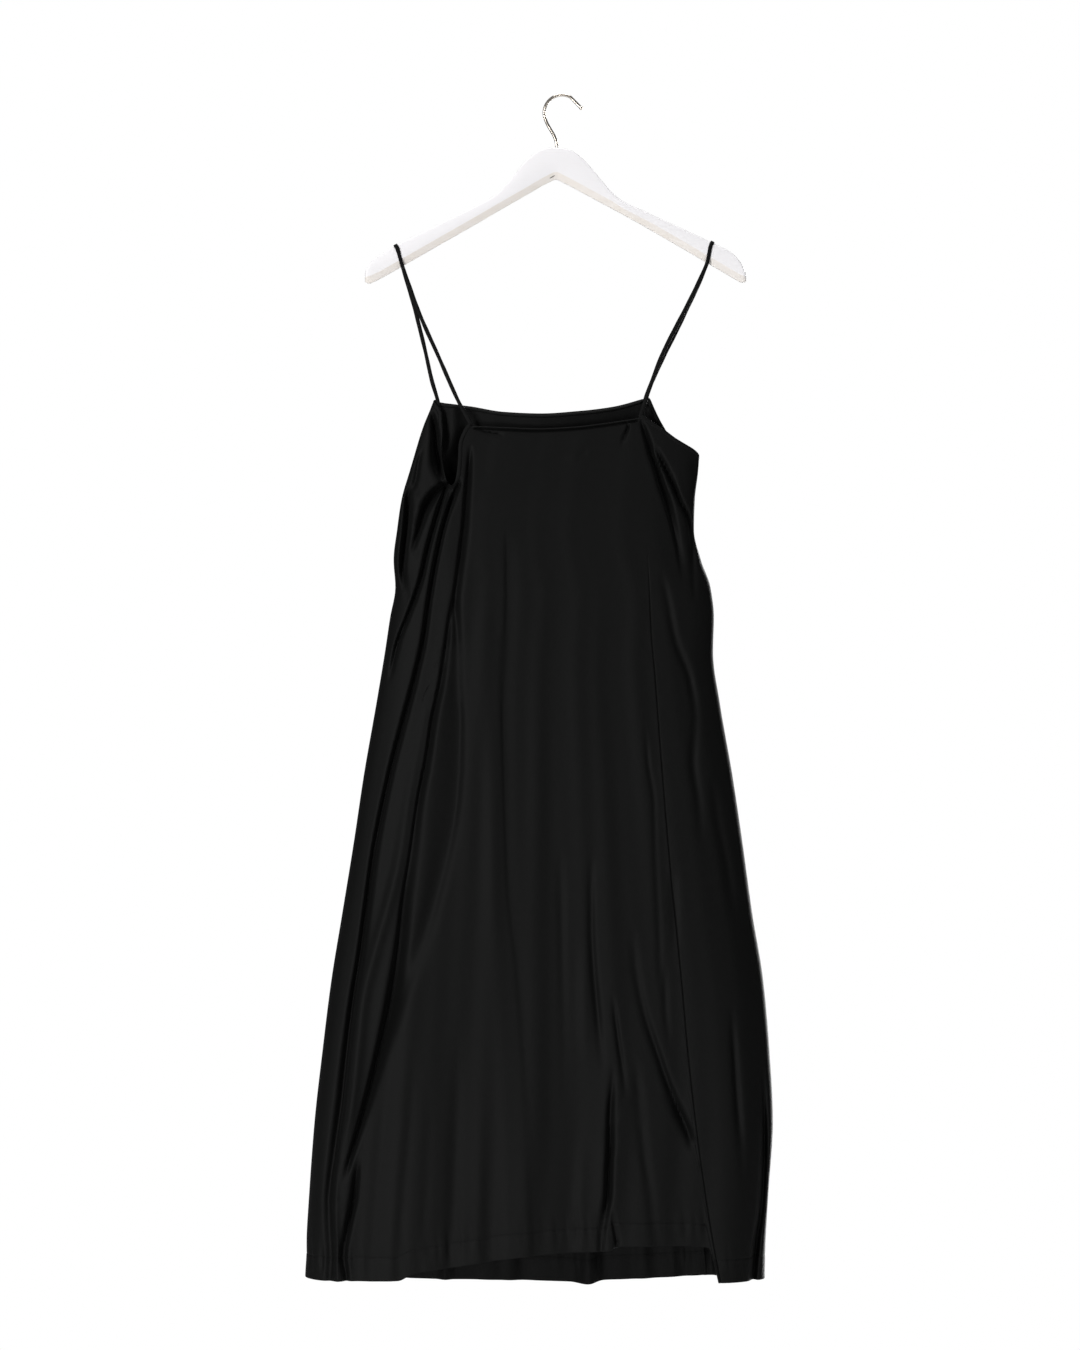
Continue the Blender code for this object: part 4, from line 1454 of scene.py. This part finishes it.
    def shape(self) -> None:
        """Work out the outer and inner faces."""
        self.lay_out()
        base = self.tube.ring(self.turn, self.z)
        out = self.tube.outward(self.turn, self.z)
        self.outer = base + out * self.relief(base[..., 0])[..., None]
        across = np.gradient(self.outer, axis=0)
        down = np.gradient(self.outer, axis=1)
        self.out = unit(np.cross(down, across))
        thick = self.thickness + self.sewing.turned_up(self.z - self.z[:, -1:])
        self.inner = self.outer - self.out * thick[..., None]
        middle = (self.outer + self.inner) / 2
        for row, share in self.rim:
            for face in (self.outer, self.inner):
                face[:, row] = middle[:, row] + (face - middle)[:, row] * share

    def flat_places(self) -> Array:
        """The flat place of each point, from the panel's middle line and its highest point."""
        across = run_length(self.outer)
        middle = [np.interp(0.5, share, run) for share, run in zip(self.shares.T, across.T)]
        return np.stack([across - np.array(middle), self.z.max() - self.z], axis=-1)

    def cut_size(self) -> tuple[float, float, float]:
        """The flat width, length and area of the cut piece, in metres and square metres."""
        flat = self.flat_places()
        width = np.ptp(flat[..., 0], axis=0).max() * MM
        length = np.ptp(flat[..., 1]) * MM
        a = self.outer[1:, 1:] - self.outer[:-1, :-1]
        b = self.outer[1:, :-1] - self.outer[:-1, 1:]
        area = np.linalg.norm(np.cross(a, b), axis=-1).sum() / 2 * MM * MM
        return round(width, 4), round(length, 4), round(float(area), 4)

    def build(self, finish: Material) -> None:
        self.shape()
        across, down = self.z.shape
        count = across * down
        corner = (np.arange(across - 1)[:, None] * down + np.arange(down - 1)[None, :]).ravel()
        face = np.stack([corner, corner + 1, corner + down + 1, corner + down], axis=1)
        rim = [i * down for i in range(across)]
        rim += [(across - 1) * down + j for j in range(1, down)]
        rim += [i * down + down - 1 for i in range(across - 2, -1, -1)]
        rim += list(range(down - 2, 0, -1))
        wall = [[b, a, count + a, count + b] for a, b in zip(rim, rim[1:] + rim[:1])]
        faces = face.tolist() + (face[:, ::-1] + count).tolist() + wall
        points = np.concatenate([self.outer.reshape(-1, 3), self.inner.reshape(-1, 3)])
        piece = mesh_object(f"cloth_{self.name}", points, faces)
        piece.data.set_sharp_from_angle(angle=math.radians(self.sharp))
        add_uv(piece, np.tile(self.flat_places().reshape(-1, 2), (2, 1)))
        # painted highlight: a tone from 0 to 1 on fold ridges that stand out, which the crepe reads
        # to lighten its colour there
        proud = self.tube.folded(self.turn, self.outer[..., 0], self.z)
        add_tone(piece, "rub_marks_and_ridge_highlight", np.tile(np.clip(proud / self.ridge_highlight_height, 0.0, 1.0).ravel(), 2))
        dress_piece(piece, finish, Slot.CLOTH, self.name)
        width, length, area = self.cut_size()
        LOG.info("%s: cut %.3f x %.3f m, %.3f square metres", self.name, width, length, area)

    def line(self, heights: Array, proud: float, inside: bool = False) -> Line:
        """Points of each column at its own height, moved out of the cloth.

        Args:
            heights: One height for each column.
            proud: How far the points stand out of the face.
            inside: Whether the line lies on the inner face.

        Returns:
            The line, from the panel's first seam to its second.
        """
        face = self.inner if inside else self.outer
        rows = []
        for k in range(len(self.sewing.laps), len(self.z)):
            both = np.concatenate([face[k, ::-1], self.out[k, ::-1]], axis=1)
            rows.append([np.interp(heights[k], self.z[k, ::-1], values) for values in both.T])
        points, ways = np.split(np.array(rows), 2, axis=1)
        out = unit(ways) * (-1.0 if inside else 1.0)
        return Line(points + out * proud, out)


# ---------------------------------------------------------------- trims


@dataclass(frozen=True)
class Strip:
    """A narrow strip of crepe, sewn into a tube and pressed flat.

    Squareness runs from 1, an oval, towards 0, a box. Girth is the way round it on the flat map.
    """

    width: float
    thickness: float
    girth: float
    corners: int
    squareness: float

    def make(
        self, name: str, frames: tuple[Array, Array, Array], swell: tuple[Array, Array]
    ) -> Piece:
        """Run the strip along a line.

        Args:
            name: The piece's name.
            frames: The line, the way across the strip and the way its face looks, at each point.
            swell: What its width and its thickness are multiplied by at each point.

        Returns:
            The piece, with its flat map.
        """
        centre, across, out = frames
        angle = np.linspace(0.0, 2 * math.pi, self.corners, endpoint=False)
        wide, thick = (
            np.sign(part) * np.abs(part) ** self.squareness * size / 2
            for part, size in ((np.cos(angle), self.width), (np.sin(angle), self.thickness))
        )
        sections = (
            centre[:, None]
            + across[:, None] * (wide * swell[0][:, None])[..., None]
            + out[:, None] * (thick * swell[1][:, None])[..., None]
        )
        piece = loft(name, sections)
        run = run_length(centre)
        round_it = np.arange(self.corners) * (self.girth / self.corners)
        add_uv(piece, np.stack(np.meshgrid(run, round_it, indexing="ij"), axis=-1).reshape(-1, 2))
        LOG.info("%s: %.0f mm long", name, run[-1])
        return piece


@dataclass
class Binding:
    """The narrow strip of crepe folded over an armhole's edge."""

    name: str
    panel: Panel
    node: str
    width: float = 3.7
    lap: float = 1.2
    thickness: float = 2.3
    sink: float = 0.4
    sections: int = 190
    corners: int = 14
    squareness: float = 0.7
    soft_reach: int = 5
    end_rounding: float = 2.2
    end_share: float = 0.35
    swell: Wave = Wave(0.04, 3.7)
    seat_sink: float = 0.25

    def build(self, finish: Material) -> Line:
        """Make the binding.

        Args:
            finish: The trim's material.

        Returns:
            The line of the stitches that hold it to the panel.
        """
        faces = self.panel.outer[3:-1, 0], self.panel.outer[3:-1, 2], self.panel.out[3:-1, 2]
        fine = soften(through(np.concatenate(faces, axis=1), self.sections), self.soft_reach)
        top, edge, way = np.split(fine, 3, axis=1)
        middle = (top + edge) / 2
        along = unit(np.gradient(middle, axis=0))
        off = unit(np.cross(unit(soften(way, self.soft_reach)), along))
        off *= np.sign(np.sum(off * (top - edge)))
        out = unit(np.cross(along, off))
        out *= np.sign(np.sum(out * way))
        centre = middle + off * ((self.width - self.lap) / 2) - out * self.sink
        run = run_length(centre)
        from_end = np.clip(np.minimum(run, run[-1] - run) / self.end_rounding, 0.0, 1.0)
        drawn = self.end_share + (1 - self.end_share) * np.sqrt(1 - (1 - from_end) ** 2)
        swell = (1 + self.swell.at(np.arange(self.sections))) * drawn
        girth = 2 * (self.width + self.thickness)
        strip = Strip(
            self.width + self.lap, self.thickness, girth, self.corners, self.squareness
        )
        piece = strip.make(self.name, (centre, off, out), (drawn, swell))
        dress_piece(piece, finish, Slot.TRIM, self.node)
        seat = middle - off * (self.lap * 0.2) + out * (self.thickness / 2 - self.seat_sink)
        return Line(seat, out)


@dataclass
class Strap:
    """A narrow turned tube of crepe, pressed flat, from the front over the hanger to the back.

    Front and back are the x and z of its points from the hanger down to the dress, and their
    ends are where it is sewn behind the edge. Bends are the ways in from its face and below
    its top, where it turns over the hanger.
    """

    name: str
    tube: Tube
    rail: "Hanger"
    over: float
    front: tuple[tuple[float, float], ...]
    front_end: tuple[float, float]
    back: tuple[tuple[float, float], ...]
    back_end: tuple[float, float]
    width: float = 4.6
    thickness: float = 1.5
    tuck: float = 9.0
    layer: float = 0.9
    rise: float = 1.6
    wall: float = 1.5
    bends: tuple[tuple[float, float], ...] = ((0.0, 2.2), (0.8, 0.6), (2.6, 0.0))
    low_bend: float = 5.0
    sections: int = 300
    corners: int = 12
    squareness: float = 0.75
    uneven: tuple[Wave, ...] = (Wave(0.05, 9.0), Wave(0.03, 4.1, 1.0))

    def sewn_end(self, side: Side, x: float, z: float) -> tuple[Array, Array]:
        """The point where the strap is sewn behind the edge, and the way out of the cloth."""
        height = np.array(float(z))
        turn = self.tube.turn_at(side, np.array(float(x)), height)
        out = self.tube.outward(turn, height)
        return self.tube.ring(turn, height) - out * (self.wall + self.layer), out

    def route(self) -> Array:
        """Points of the strap's middle line with the way its face looks, front end first."""
        face = self.rail.half + self.layer
        ends = np.array([self.over - self.width / 2, self.over + self.width / 2])
        low, high = self.rail.top_at(ends)
        tilt = math.atan2(high - low, self.width)
        up = np.array([-math.sin(tilt), 0.0, math.cos(tilt)])
        crest = np.array([self.over, 0.0, float(self.rail.top_at(np.array(self.over)))])
        halves = []
        for sign, side, stops, end in (
            (-1.0, Side.FRONT, self.front, self.front_end),
            (1.0, Side.BACK, self.back, self.back_end),
        ):
            sewn, out = self.sewn_end(side, *end)
            facing = np.array([0.0, sign, 0.0])
            half = [(sewn - np.array([0.0, 0.0, self.tuck]), out), (sewn, out)]
            for x, z in reversed(stops):
                risen = (z - sewn[2]) / (stops[0][1] - sewn[2])
                y = sewn[1] + (sign * face - sewn[1]) * min(1.0, risen * self.rise)
                half.append((np.array([x, y, z]), facing))
            half.append((crest + facing * face - up * self.low_bend, facing))
            for way, (inwards, down) in zip((facing, unit(facing + up), up), self.bends):
                place = crest + facing * (face - inwards) + up * (self.layer - down)
                half.append((place, way))
            halves.append([np.concatenate(pair) for pair in half])
        return np.array(halves[0] + halves[1][::-1])

    def build(self, finish: Material) -> None:
        """Make the strap."""
        line = through(self.route(), self.sections)
        centre = line[:, :3]
        along = unit(np.gradient(centre, axis=0))
        across = unit(np.cross(along, unit(line[:, 3:])))
        out = unit(np.cross(across, along))
        swell = 1 + sum(wave.at(run_length(centre)) for wave in self.uneven)
        girth = 2 * (self.width + self.thickness)
        strip = Strip(self.width, self.thickness, girth, self.corners, self.squareness)
        frames = (centre, across, out)
        piece = strip.make(f"turned_{self.name}", frames, (swell, np.ones(self.sections)))
        dress_piece(piece, finish, Slot.TRIM, self.name)


def guide_object(name: str, lines: Sequence[Line]) -> Piece:
    """A mesh of bare lines with the way out stored at each point."""
    points: list[list[float]] = []
    edges: list[tuple[int, int]] = []
    for line in lines:
        start = len(points)
        points += (line.points * MM).tolist()
        edges += [(start + i, start + i + 1) for i in range(len(line.points) - 1)]
    mesh = bpy.data.meshes.new(name)
    mesh.from_pydata(points, edges, [])
    layer = mesh.attributes.new("out", "FLOAT_VECTOR", "POINT")
    ways = np.concatenate([line.out for line in lines])
    layer.data.foreach_set("vector", ways.astype(np.float32).ravel())
    return link(name, mesh)


@dataclass
class Stitching:
    """Rows of small stitches along lines on the cloth."""

    pitch: float = 2.9
    length: float = 2.1
    thread: float = 0.30
    slant: float = 5.0
    seed: int = 7
    segments: int = 8
    rings: int = 5

    def build(self, name: str, lines: Sequence[Line], finish: Material) -> None:
        """Sew a stitch at every step along each line, all of them one piece.

        Args:
            name: The piece's name.
            lines: The lines to follow.
            finish: The thread's material.
        """
        grove = Grove(
            name,
            {
                "Pitch": ("NodeSocketFloat", self.pitch * MM),
                "Length": ("NodeSocketFloat", self.length * MM),
                "Thread": ("NodeSocketFloat", self.thread * MM),
                "Slant": ("NodeSocketFloat", math.radians(self.slant)),
                "Seed": ("NodeSocketInt", self.seed),
                "Material": ("NodeSocketMaterial", finish),
            },
        )
        given = grove.given
        curve = grove.source("GeometryNodeMeshToCurve", {}, {"Mesh": given["Geometry"]})
        every = {"Curve": curve, "Length": given["Pitch"]}
        steps = grove.source("GeometryNodeResampleCurve", {"mode": "LENGTH"}, every)
        stored = {"data_type": "FLOAT_VECTOR"}
        out = grove.source("GeometryNodeInputNamedAttribute", stored, {"Name": "out"})
        align = "FunctionNodeAlignRotationToVector"
        tangent = grove.source("GeometryNodeInputTangent")
        along = grove.source(align, {"axis": "X"}, {"Vector": tangent})
        facing = {"Rotation": along, "Vector": out}
        seated = grove.source(align, {"axis": "Z", "pivot_axis": "X"}, facing)
        most = given["Slant"]
        least = grove.source("ShaderNodeMath", {"operation": "MULTIPLY"}, {0: most, 1: -1.0})
        between = {2: least, 3: most, "Seed": given["Seed"]}
        sway = grove.source("FunctionNodeRandomValue", {"data_type": "FLOAT"}, between, 1)
        about = {"Axis": (0.0, 0.0, 1.0), "Angle": sway}
        turned = grove.source("FunctionNodeAxisAngleToRotation", {}, about)
        local = {"rotation_space": "LOCAL"}
        both = {"Rotation": seated, "Rotate By": turned}
        rotation = grove.source("FunctionNodeRotateRotation", local, both)
        round_one = {"Segments": self.segments, "Rings": self.rings, "Radius": 0.5}
        ball = grove.source("GeometryNodeMeshUVSphere", {}, round_one)
        sizes = {0: given["Length"], 1: given["Thread"], 2: given["Thread"]}
        size = grove.source("ShaderNodeCombineXYZ", {}, sizes)
        stitch = grove.source("GeometryNodeTransform", {}, {"Geometry": ball, "Scale": size})
        soft = grove.source("GeometryNodeSetShadeSmooth", {}, {0: stitch})
        sewn = {"Points": steps, "Instance": soft, "Rotation": rotation}
        all_of_them = grove.source("GeometryNodeInstanceOnPoints", {}, sewn)
        piece = grove.grow(all_of_them, guide_object(f"{name}_guide", lines))
        dress_piece(piece, finish, Slot.TRIM)
        LOG.info("%s: %d faces", name, len(piece.data.polygons))


# ---------------------------------------------------------------- hanger and hook


@dataclass(frozen=True)
class Rail:
    """The hanger's top and underside at one place along it."""

    x: float
    top: float
    bottom: float


RAILS = (
    Rail(-227, -203, -214), Rail(-222, -193, -216), Rail(-210, -183, -210.5),
    Rail(-195, -174, -202), Rail(-140, -146.5, -170.5), Rail(-94.5, -124, -144.5),
    Rail(-77, -114, -134.3), Rail(-60, -97, -124.5), Rail(-40, -73, -113),
    Rail(-22, -61, -102.5), Rail(-9, -59, -96), Rail(-5, -59, -96), Rail(8, -61.5, -102.5),
    Rail(20, -68.5, -109), Rail(32, -80.5, -115.5), Rail(44, -95, -122), Rail(57, -110, -129),
    Rail(70, -120.5, -136), Rail(90, -130, -147), Rail(130, -148.5, -170),
    Rail(177, -170.5, -197.5), Rail(195, -180, -208), Rail(206, -192, -214.5),
    Rail(212, -204, -214),
)


@dataclass
class Hanger:
    """The flat wooden hanger, with rounded top edges and a wide bevel below.

    Foot points are ways in from the face and up from the underside, each with its share of
    bevel. Crease points are the same, up from where the bevel ends.
    """

    rails: tuple[Rail, ...] = RAILS
    crown: tuple[float, float] = (-9.0, -5.0)
    half: float = 6.0
    bevel_height: float = 8.5
    bevel_share: float = 0.45
    foot: tuple[tuple[float, float, float], ...] = ((4.1, 0.0, 0.6), (3.6, 0.2, 1.0))
    crease: tuple[tuple[float, float, float], ...] = ((0.25, -0.5, 1.0), (0.0, 0.3, 0.0))
    rounding: float = 2.2
    rounding_share: float = 0.2
    step: float = 2.2
    near_ends: tuple[float, ...] = (0.25, 0.8, 1.5)
    end_rounding: float = 3.0
    end_share: float = 0.45
    end_height: float = 0.7
    round_steps: int = 5
    sharp: float = 34.0

    def top_at(self, x: Array) -> Array:
        """Height of the hanger's top at places along it."""
        return smooth(column(self.rails, "x"), column(self.rails, "top"), x)

    def bottom_at(self, x: Array) -> Array:
        """Height of the hanger's underside at places along it."""
        return np.interp(x, column(self.rails, "x"), column(self.rails, "bottom"))

    def section(self, x: float, end: float) -> tuple[Array, Array]:
        """The outline at one place, and how much of the bevel each point belongs to.

        Args:
            x: The place along the hanger.
            end: How far that is from the nearer end, where the outline is drawn in.

        Returns:
            The points and a number from 0 to 1 for each.
        """
        top = float(self.top_at(np.array(x)))
        bottom = float(self.bottom_at(np.array(x)))
        drawn = math.sqrt(max(0.0, 1 - (1 - min(1.0, end / self.end_rounding)) ** 2))
        ended = self.end_share + (1 - self.end_share) * drawn
        height = top - bottom
        bevel = min(self.bevel_height, height * self.bevel_share)
        rounding = min(self.rounding, height * self.rounding_share)
        middle = (top + bottom) / 2
        half = []
        for base, points in ((bottom, self.foot), (bottom + bevel, self.crease)):
            half += [(self.half - inwards, base + up, share) for inwards, up, share in points]
        half.append((self.half, (bottom + bevel + top) / 2, 0.0))
        for angle in np.linspace(0.0, math.pi / 2, self.round_steps + 1):
            y = self.half - rounding + rounding * math.cos(angle)
            half.append((y, top - rounding + rounding * math.sin(angle), 0.0))
        outline = np.array(half + [(-y, z, share) for y, z, share in reversed(half)])
        y = outline[:, 0] * ended
        z = middle + (outline[:, 1] - middle) * (self.end_height + (1 - self.end_height) * ended)
        return np.stack([x + 0 * y, y, z], axis=1), outline[:, 2]

    def build(self, finish: Material) -> None:
        """Make the hanger."""
        first = self.rails[0].x
        last = self.rails[-1].x
        even = np.linspace(first, last, int((last - first) / self.step) + 1)
        near = np.array(self.near_ends)
        places = np.union1d(even, np.concatenate([self.crown, first + near, last - near]))
        made = [self.section(float(x), min(x - first, last - x)) for x in places]
        piece = loft("cut_hanger", np.array([points for points, _ in made]), self.sharp)
        # the bevel share, which the paint reads for its darker bevel (partly painted shade) and for
        # its chips
        add_tone(piece, "bevel", np.concatenate([share for _, share in made]))
        dress_piece(piece, finish, Slot.HANGER, "hanger")
        LOG.info("hanger: %d sections", len(made))


@dataclass
class Hook:
    """The bent wire hook: a ball on its tip, a straight run, the bow and the stem.

    The tip's rows are shares of the straight run, with the wire's swelling at each.
    """

    rail: Hanger
    wire: float = 1.8
    tip_x: float = 22.5
    tip_z: float = -13.6
    tip: tuple[tuple[float, float], ...] = (
        (-0.085, 0.02), (-0.08, 0.45), (-0.06, 0.85), (-0.025, 1.18), (0.01, 1.3),
        (0.05, 1.27), (0.09, 1.1), (0.13, 1.0), (0.3, 1.0), (0.5, 1.0), (0.75, 1.0),
    )
    bow: float = 20.5
    bow_start: float = 62.0
    bow_end: float = 196.0
    bow_steps: int = 60
    stem_pull: float = 15.0
    stem_steps: int = 36
    foot_x: float = -6.0
    foot_gap: float = 0.3
    sides: int = 24

    def route(self) -> tuple[Array, Array]:
        """Points from the tip to the stem's foot, with the wire's radius at each."""
        centre = np.array([0.0, self.wire - self.bow])
        angles = np.radians(np.linspace(self.bow_start, self.bow_end, self.bow_steps))
        bow = centre + self.bow * np.stack([np.cos(angles), np.sin(angles)], axis=1)
        tip = np.array([self.tip_x, self.tip_z])
        shares, swells = np.array(self.tip).T
        straight = tip + (bow[0] - tip) * shares[:, None]
        foot_z = float(self.rail.top_at(np.array(self.foot_x))) + self.foot_gap
        foot = np.array([self.foot_x, foot_z])
        onwards = np.array([-math.sin(angles[-1]), math.cos(angles[-1])])
        above = foot + np.array([0.0, self.stem_pull])
        leads = (bow[-1], bow[-1] + self.stem_pull * onwards, above, foot)
        t = np.linspace(0.0, 1.0, self.stem_steps)[1:, None]
        weights = ((1 - t) ** 3, 3 * t * (1 - t) ** 2, 3 * t * t * (1 - t), t**3)
        stem = sum(weight * lead for weight, lead in zip(weights, leads))
        flat = np.concatenate([straight, bow, stem])
        radii = np.concatenate([swells, np.ones(len(bow) + len(stem))]) * self.wire
        return np.stack([flat[:, 0], 0 * radii, flat[:, 1]], axis=1), radii

    def build(self, finish: Material) -> None:
        """Run a round wire along the route, with its radius at each point."""
        points, radii = self.route()
        guide = guide_object("hook_guide", [Line(points, np.zeros(points.shape))])
        add_tone(guide, "radius_here", radii * MM)
        inputs = {
            "Sides": ("NodeSocketInt", self.sides),
            "Material": ("NodeSocketMaterial", finish),
        }
        grove = Grove("bent_hook", inputs)
        curve = grove.source("GeometryNodeMeshToCurve", {}, {"Mesh": grove.given["Geometry"]})
        stored = {"data_type": "FLOAT"}
        radius = grove.source("GeometryNodeInputNamedAttribute", stored, {"Name": "radius_here"})
        round_one = {"Resolution": grove.given["Sides"], "Radius": 1.0}
        ring = grove.source("GeometryNodeCurvePrimitiveCircle", {}, round_one)
        swept = {"Curve": curve, "Profile Curve": ring, "Scale": radius, "Fill Caps": True}
        wire = grove.source("GeometryNodeCurveToMesh", {}, swept)
        soft = grove.source("GeometryNodeSetShadeSmooth", {}, {0: wire})
        piece = grove.grow(soft, guide)
        face_outwards(piece)
        dress_piece(piece, finish, Slot.HOOK, "hook")
        LOG.info("hook: %d faces", len(piece.data.polygons))


# ---------------------------------------------------------------- the whole dress


@dataclass
class Finishes:
    """The materials of the dress and its hanger."""

    cloth: Material
    trim: Material
    thread: Material
    paint: Material
    nickel: Material


@dataclass
class Dress:
    """The dress: four panels, two armhole bindings, two straps and the sewing."""

    tube: Tube
    rail: Hanger
    hem_stitches: float = 0.6
    hem_stitches_inside: float = 1.6
    hem_proud: float = 0.12
    neck_stitches: float = 2.9
    neck_proud: float = 0.1

    def panels(self) -> dict[str, Panel]:
        """The four panels by name."""
        rows = (
            ("front_panel", "front_left", "front_right", NECK_FRONT, HEM_FRONT, 260, True),
            ("side_panel_right", "front_right", "back_right", ARMHOLE_RIGHT, HEM_RIGHT, 180, False),
            ("back_panel", "back_right", "back_left", NECK_BACK, HEM_BACK, 230, True),
            ("side_panel_left", "back_left", "front_left", ARMHOLE_LEFT, HEM_LEFT, 210, False),
        )
        return {row[0]: Panel(self.tube, *row) for row in rows}

    def straps(self) -> tuple[Strap, ...]:
        """The two straps."""
        return (
            Strap(
                "strap_left", self.tube, self.rail, -191.5,
                ((-184, -195), (-163, -253), (-143, -298), (-120, -350)), (-104, -380),
                ((-184, -195), (-172, -236), (-159, -287), (-150, -327)), (-143, -352),
            ),
            Strap(
                "strap_right", self.tube, self.rail, 173.0,
                ((166, -195), (141, -247), (116, -296), (98, -345)), (90, -371),
                ((166, -195), (143, -247), (119, -296), (103, -330)), (96, -348),
            ),
        )

    def build(self, finishes: Finishes) -> None:
        """Make every piece of the dress."""
        panels = self.panels()
        for panel in panels.values():
            panel.build(finishes.cloth)
        lines = []
        for side in ("right", "left"):
            panel = panels[f"side_panel_{side}"]
            binding = Binding(f"binding_{side}", panel, f"armhole_binding_{side}")
            lines.append(binding.build(finishes.trim))
        for strap in self.straps():
            strap.build(finishes.trim)
        for panel in panels.values():
            turned_up = panel.z[:, -1] + panel.sewing.hem_depth
            lines.append(panel.line(turned_up - self.hem_stitches, self.hem_proud))
            lines.append(panel.line(turned_up - self.hem_stitches_inside, self.hem_proud, True))
        for panel in (panels["front_panel"], panels["back_panel"]):
            lines.append(panel.line(panel.z[:, 0] - self.neck_stitches, self.neck_proud))
        Stitching().build("stitches", lines, finishes.thread)


@dataclass(frozen=True)
class Lamp:
    """A square soft light: its place, size, power and what it looks at, in metres and watts."""

    name: str
    place: Place
    size: float
    power: float
    target: Place = (-0.02, 0.0, -0.75)

    def build(self) -> None:
        """Hang the lamp and turn it to its target."""
        data = bpy.data.lights.new(self.name, "AREA")
        data.shape = "SQUARE"
        data.size = self.size
        data.energy = self.power
        made = link(self.name, data)
        made.location = self.place
        x, y, z = np.array(self.target) - np.array(self.place)
        tip = math.pi / 2 + math.atan2(z, math.hypot(x, y))
        made.rotation_euler = (tip, 0.0, math.atan2(y, x) - math.pi / 2)


@dataclass
class Studio:
    """Camera, lamps, floor and the white around them.

    The frame is width by height pixels, scale is millimetres for each, and origin is the
    pixel of the hook's inner top. Lens and sensor are in millimetres, the floor in metres.
    """

    width: int = 1080
    height: int = 1350
    scale: float = 1.152
    origin_x: float = 562.0
    origin_y: float = 96.5
    lens: float = 135.0
    sensor: float = 36.0
    clip_end: float = 60.0
    floor_z: float = -1.78
    floor_radius: float = 1.9
    floor_segments: int = 96
    sky_rise: tuple[float, float] = (-0.6, 0.8)
    sky_strength: tuple[float, float] = (0.075, 0.15)
    sky_colour: Colour = (0.97, 0.98, 1.0)
    lamps: tuple[Lamp, ...] = (
        Lamp("key", (-2.3, -3.4, 0.3), 0.9, 82.0),
        Lamp("low_key", (-2.3, -3.4, -1.5), 0.9, 49.0),
        Lamp("fill", (2.2, -2.6, -0.4), 1.6, 9.5),
        Lamp("hem_light", (0.3, -3.0, -1.72), 0.6, 12.0, (0.0, 0.0, -1.36)),
        Lamp("back_key", (2.2, 3.5, 0.5), 1.1, 96.0),
        Lamp("back_low_key", (2.2, 3.5, -1.4), 1.1, 88.0),
        Lamp("top", (0.0, 0.0, 2.4), 2.0, 66.0, (0.0, 0.001, -1.78)),
    )

    def camera(self) -> None:
        """A long lens, level with the middle of the dress and straight before it."""
        data = bpy.data.cameras.new("camera")
        data.lens = self.lens
        data.sensor_width = self.sensor
        data.sensor_fit = "AUTO"
        data.clip_end = self.clip_end
        pixel = self.scale * MM
        made = link("camera", data)
        made.location = (
            (self.width / 2 - self.origin_x) * pixel,
            -self.lens / self.sensor * self.height * pixel,
            -(self.height / 2 - self.origin_y) * pixel,
        )
        made.rotation_euler = (math.pi / 2, 0.0, 0.0)
        bpy.context.scene.camera = made

    def floor(self) -> None:
        """A round pale floor below the hem."""
        shape = bmesh.new()
        bmesh.ops.create_circle(
            shape, cap_ends=True, segments=self.floor_segments, radius=self.floor_radius
        )
        mesh = bpy.data.meshes.new("floor")
        shape.to_mesh(mesh)
        shape.free()
        mesh.transform(Matrix.Translation((0.0, 0.0, self.floor_z)))
        mesh.materials.append(FloorFinish().make())
        link("floor", mesh)

    def surround(self) -> None:
        """White behind everything, and a softer grey as light, brighter from above."""
        world = bpy.data.worlds.new("surround")
        bpy.context.scene.world = world
        world.use_nodes = True
        nodes = Nodes(world.node_tree)
        place = nodes.source("ShaderNodeTexCoord", {}, {}, "Generated")
        height = nodes.source("ShaderNodeSeparateXYZ", {}, {0: place}, "Z")
        ends = ("From Min", "From Max", "To Min", "To Max")
        rise = {"Value": height, **dict(zip(ends, self.sky_rise + self.sky_strength))}
        strength = nodes.source("ShaderNodeMapRange", {}, rise)
        grey = {"Color": rgba(self.sky_colour), "Strength": strength}
        lighting = nodes.source("ShaderNodeBackground", {}, grey)
        seen = nodes.source("ShaderNodeBackground", {}, {"Color": rgba((1.0, 1.0, 1.0))})
        ray = nodes.source("ShaderNodeLightPath", {}, {}, "Is Camera Ray")
        both = nodes.source("ShaderNodeMixShader", {}, {0: ray, 1: lighting, 2: seen})
        nodes.add("ShaderNodeOutputWorld", {}, {"Surface": both})

    def build(self) -> None:
        """Set everything up."""
        self.camera()
        self.floor()
        self.surround()
        for lamp in self.lamps:
            lamp.build()
        view = bpy.context.scene.view_settings
        view.view_transform = "Standard"
        view.look = "None"


def main() -> None:
    """Build the studio, the hanger, the hook and the dress."""
    logging.basicConfig(level=logging.INFO, format="%(message)s")
    Studio().build()
    trim = CrepeFinish("black_crepe_strip", (0.0036, 0.0037, 0.0036), pebble=1500.0)
    finishes = Finishes(
        cloth=CrepeFinish().make(),
        trim=trim.make(),
        thread=ThreadFinish().make(),
        paint=PaintFinish().make(),
        nickel=NickelFinish().make(),
    )
    rail = Hanger()
    rail.build(finishes.paint)
    Hook(rail).build(finishes.nickel)
    Dress(Tube(), rail).build(finishes)


if __name__ == "__main__":
    main()
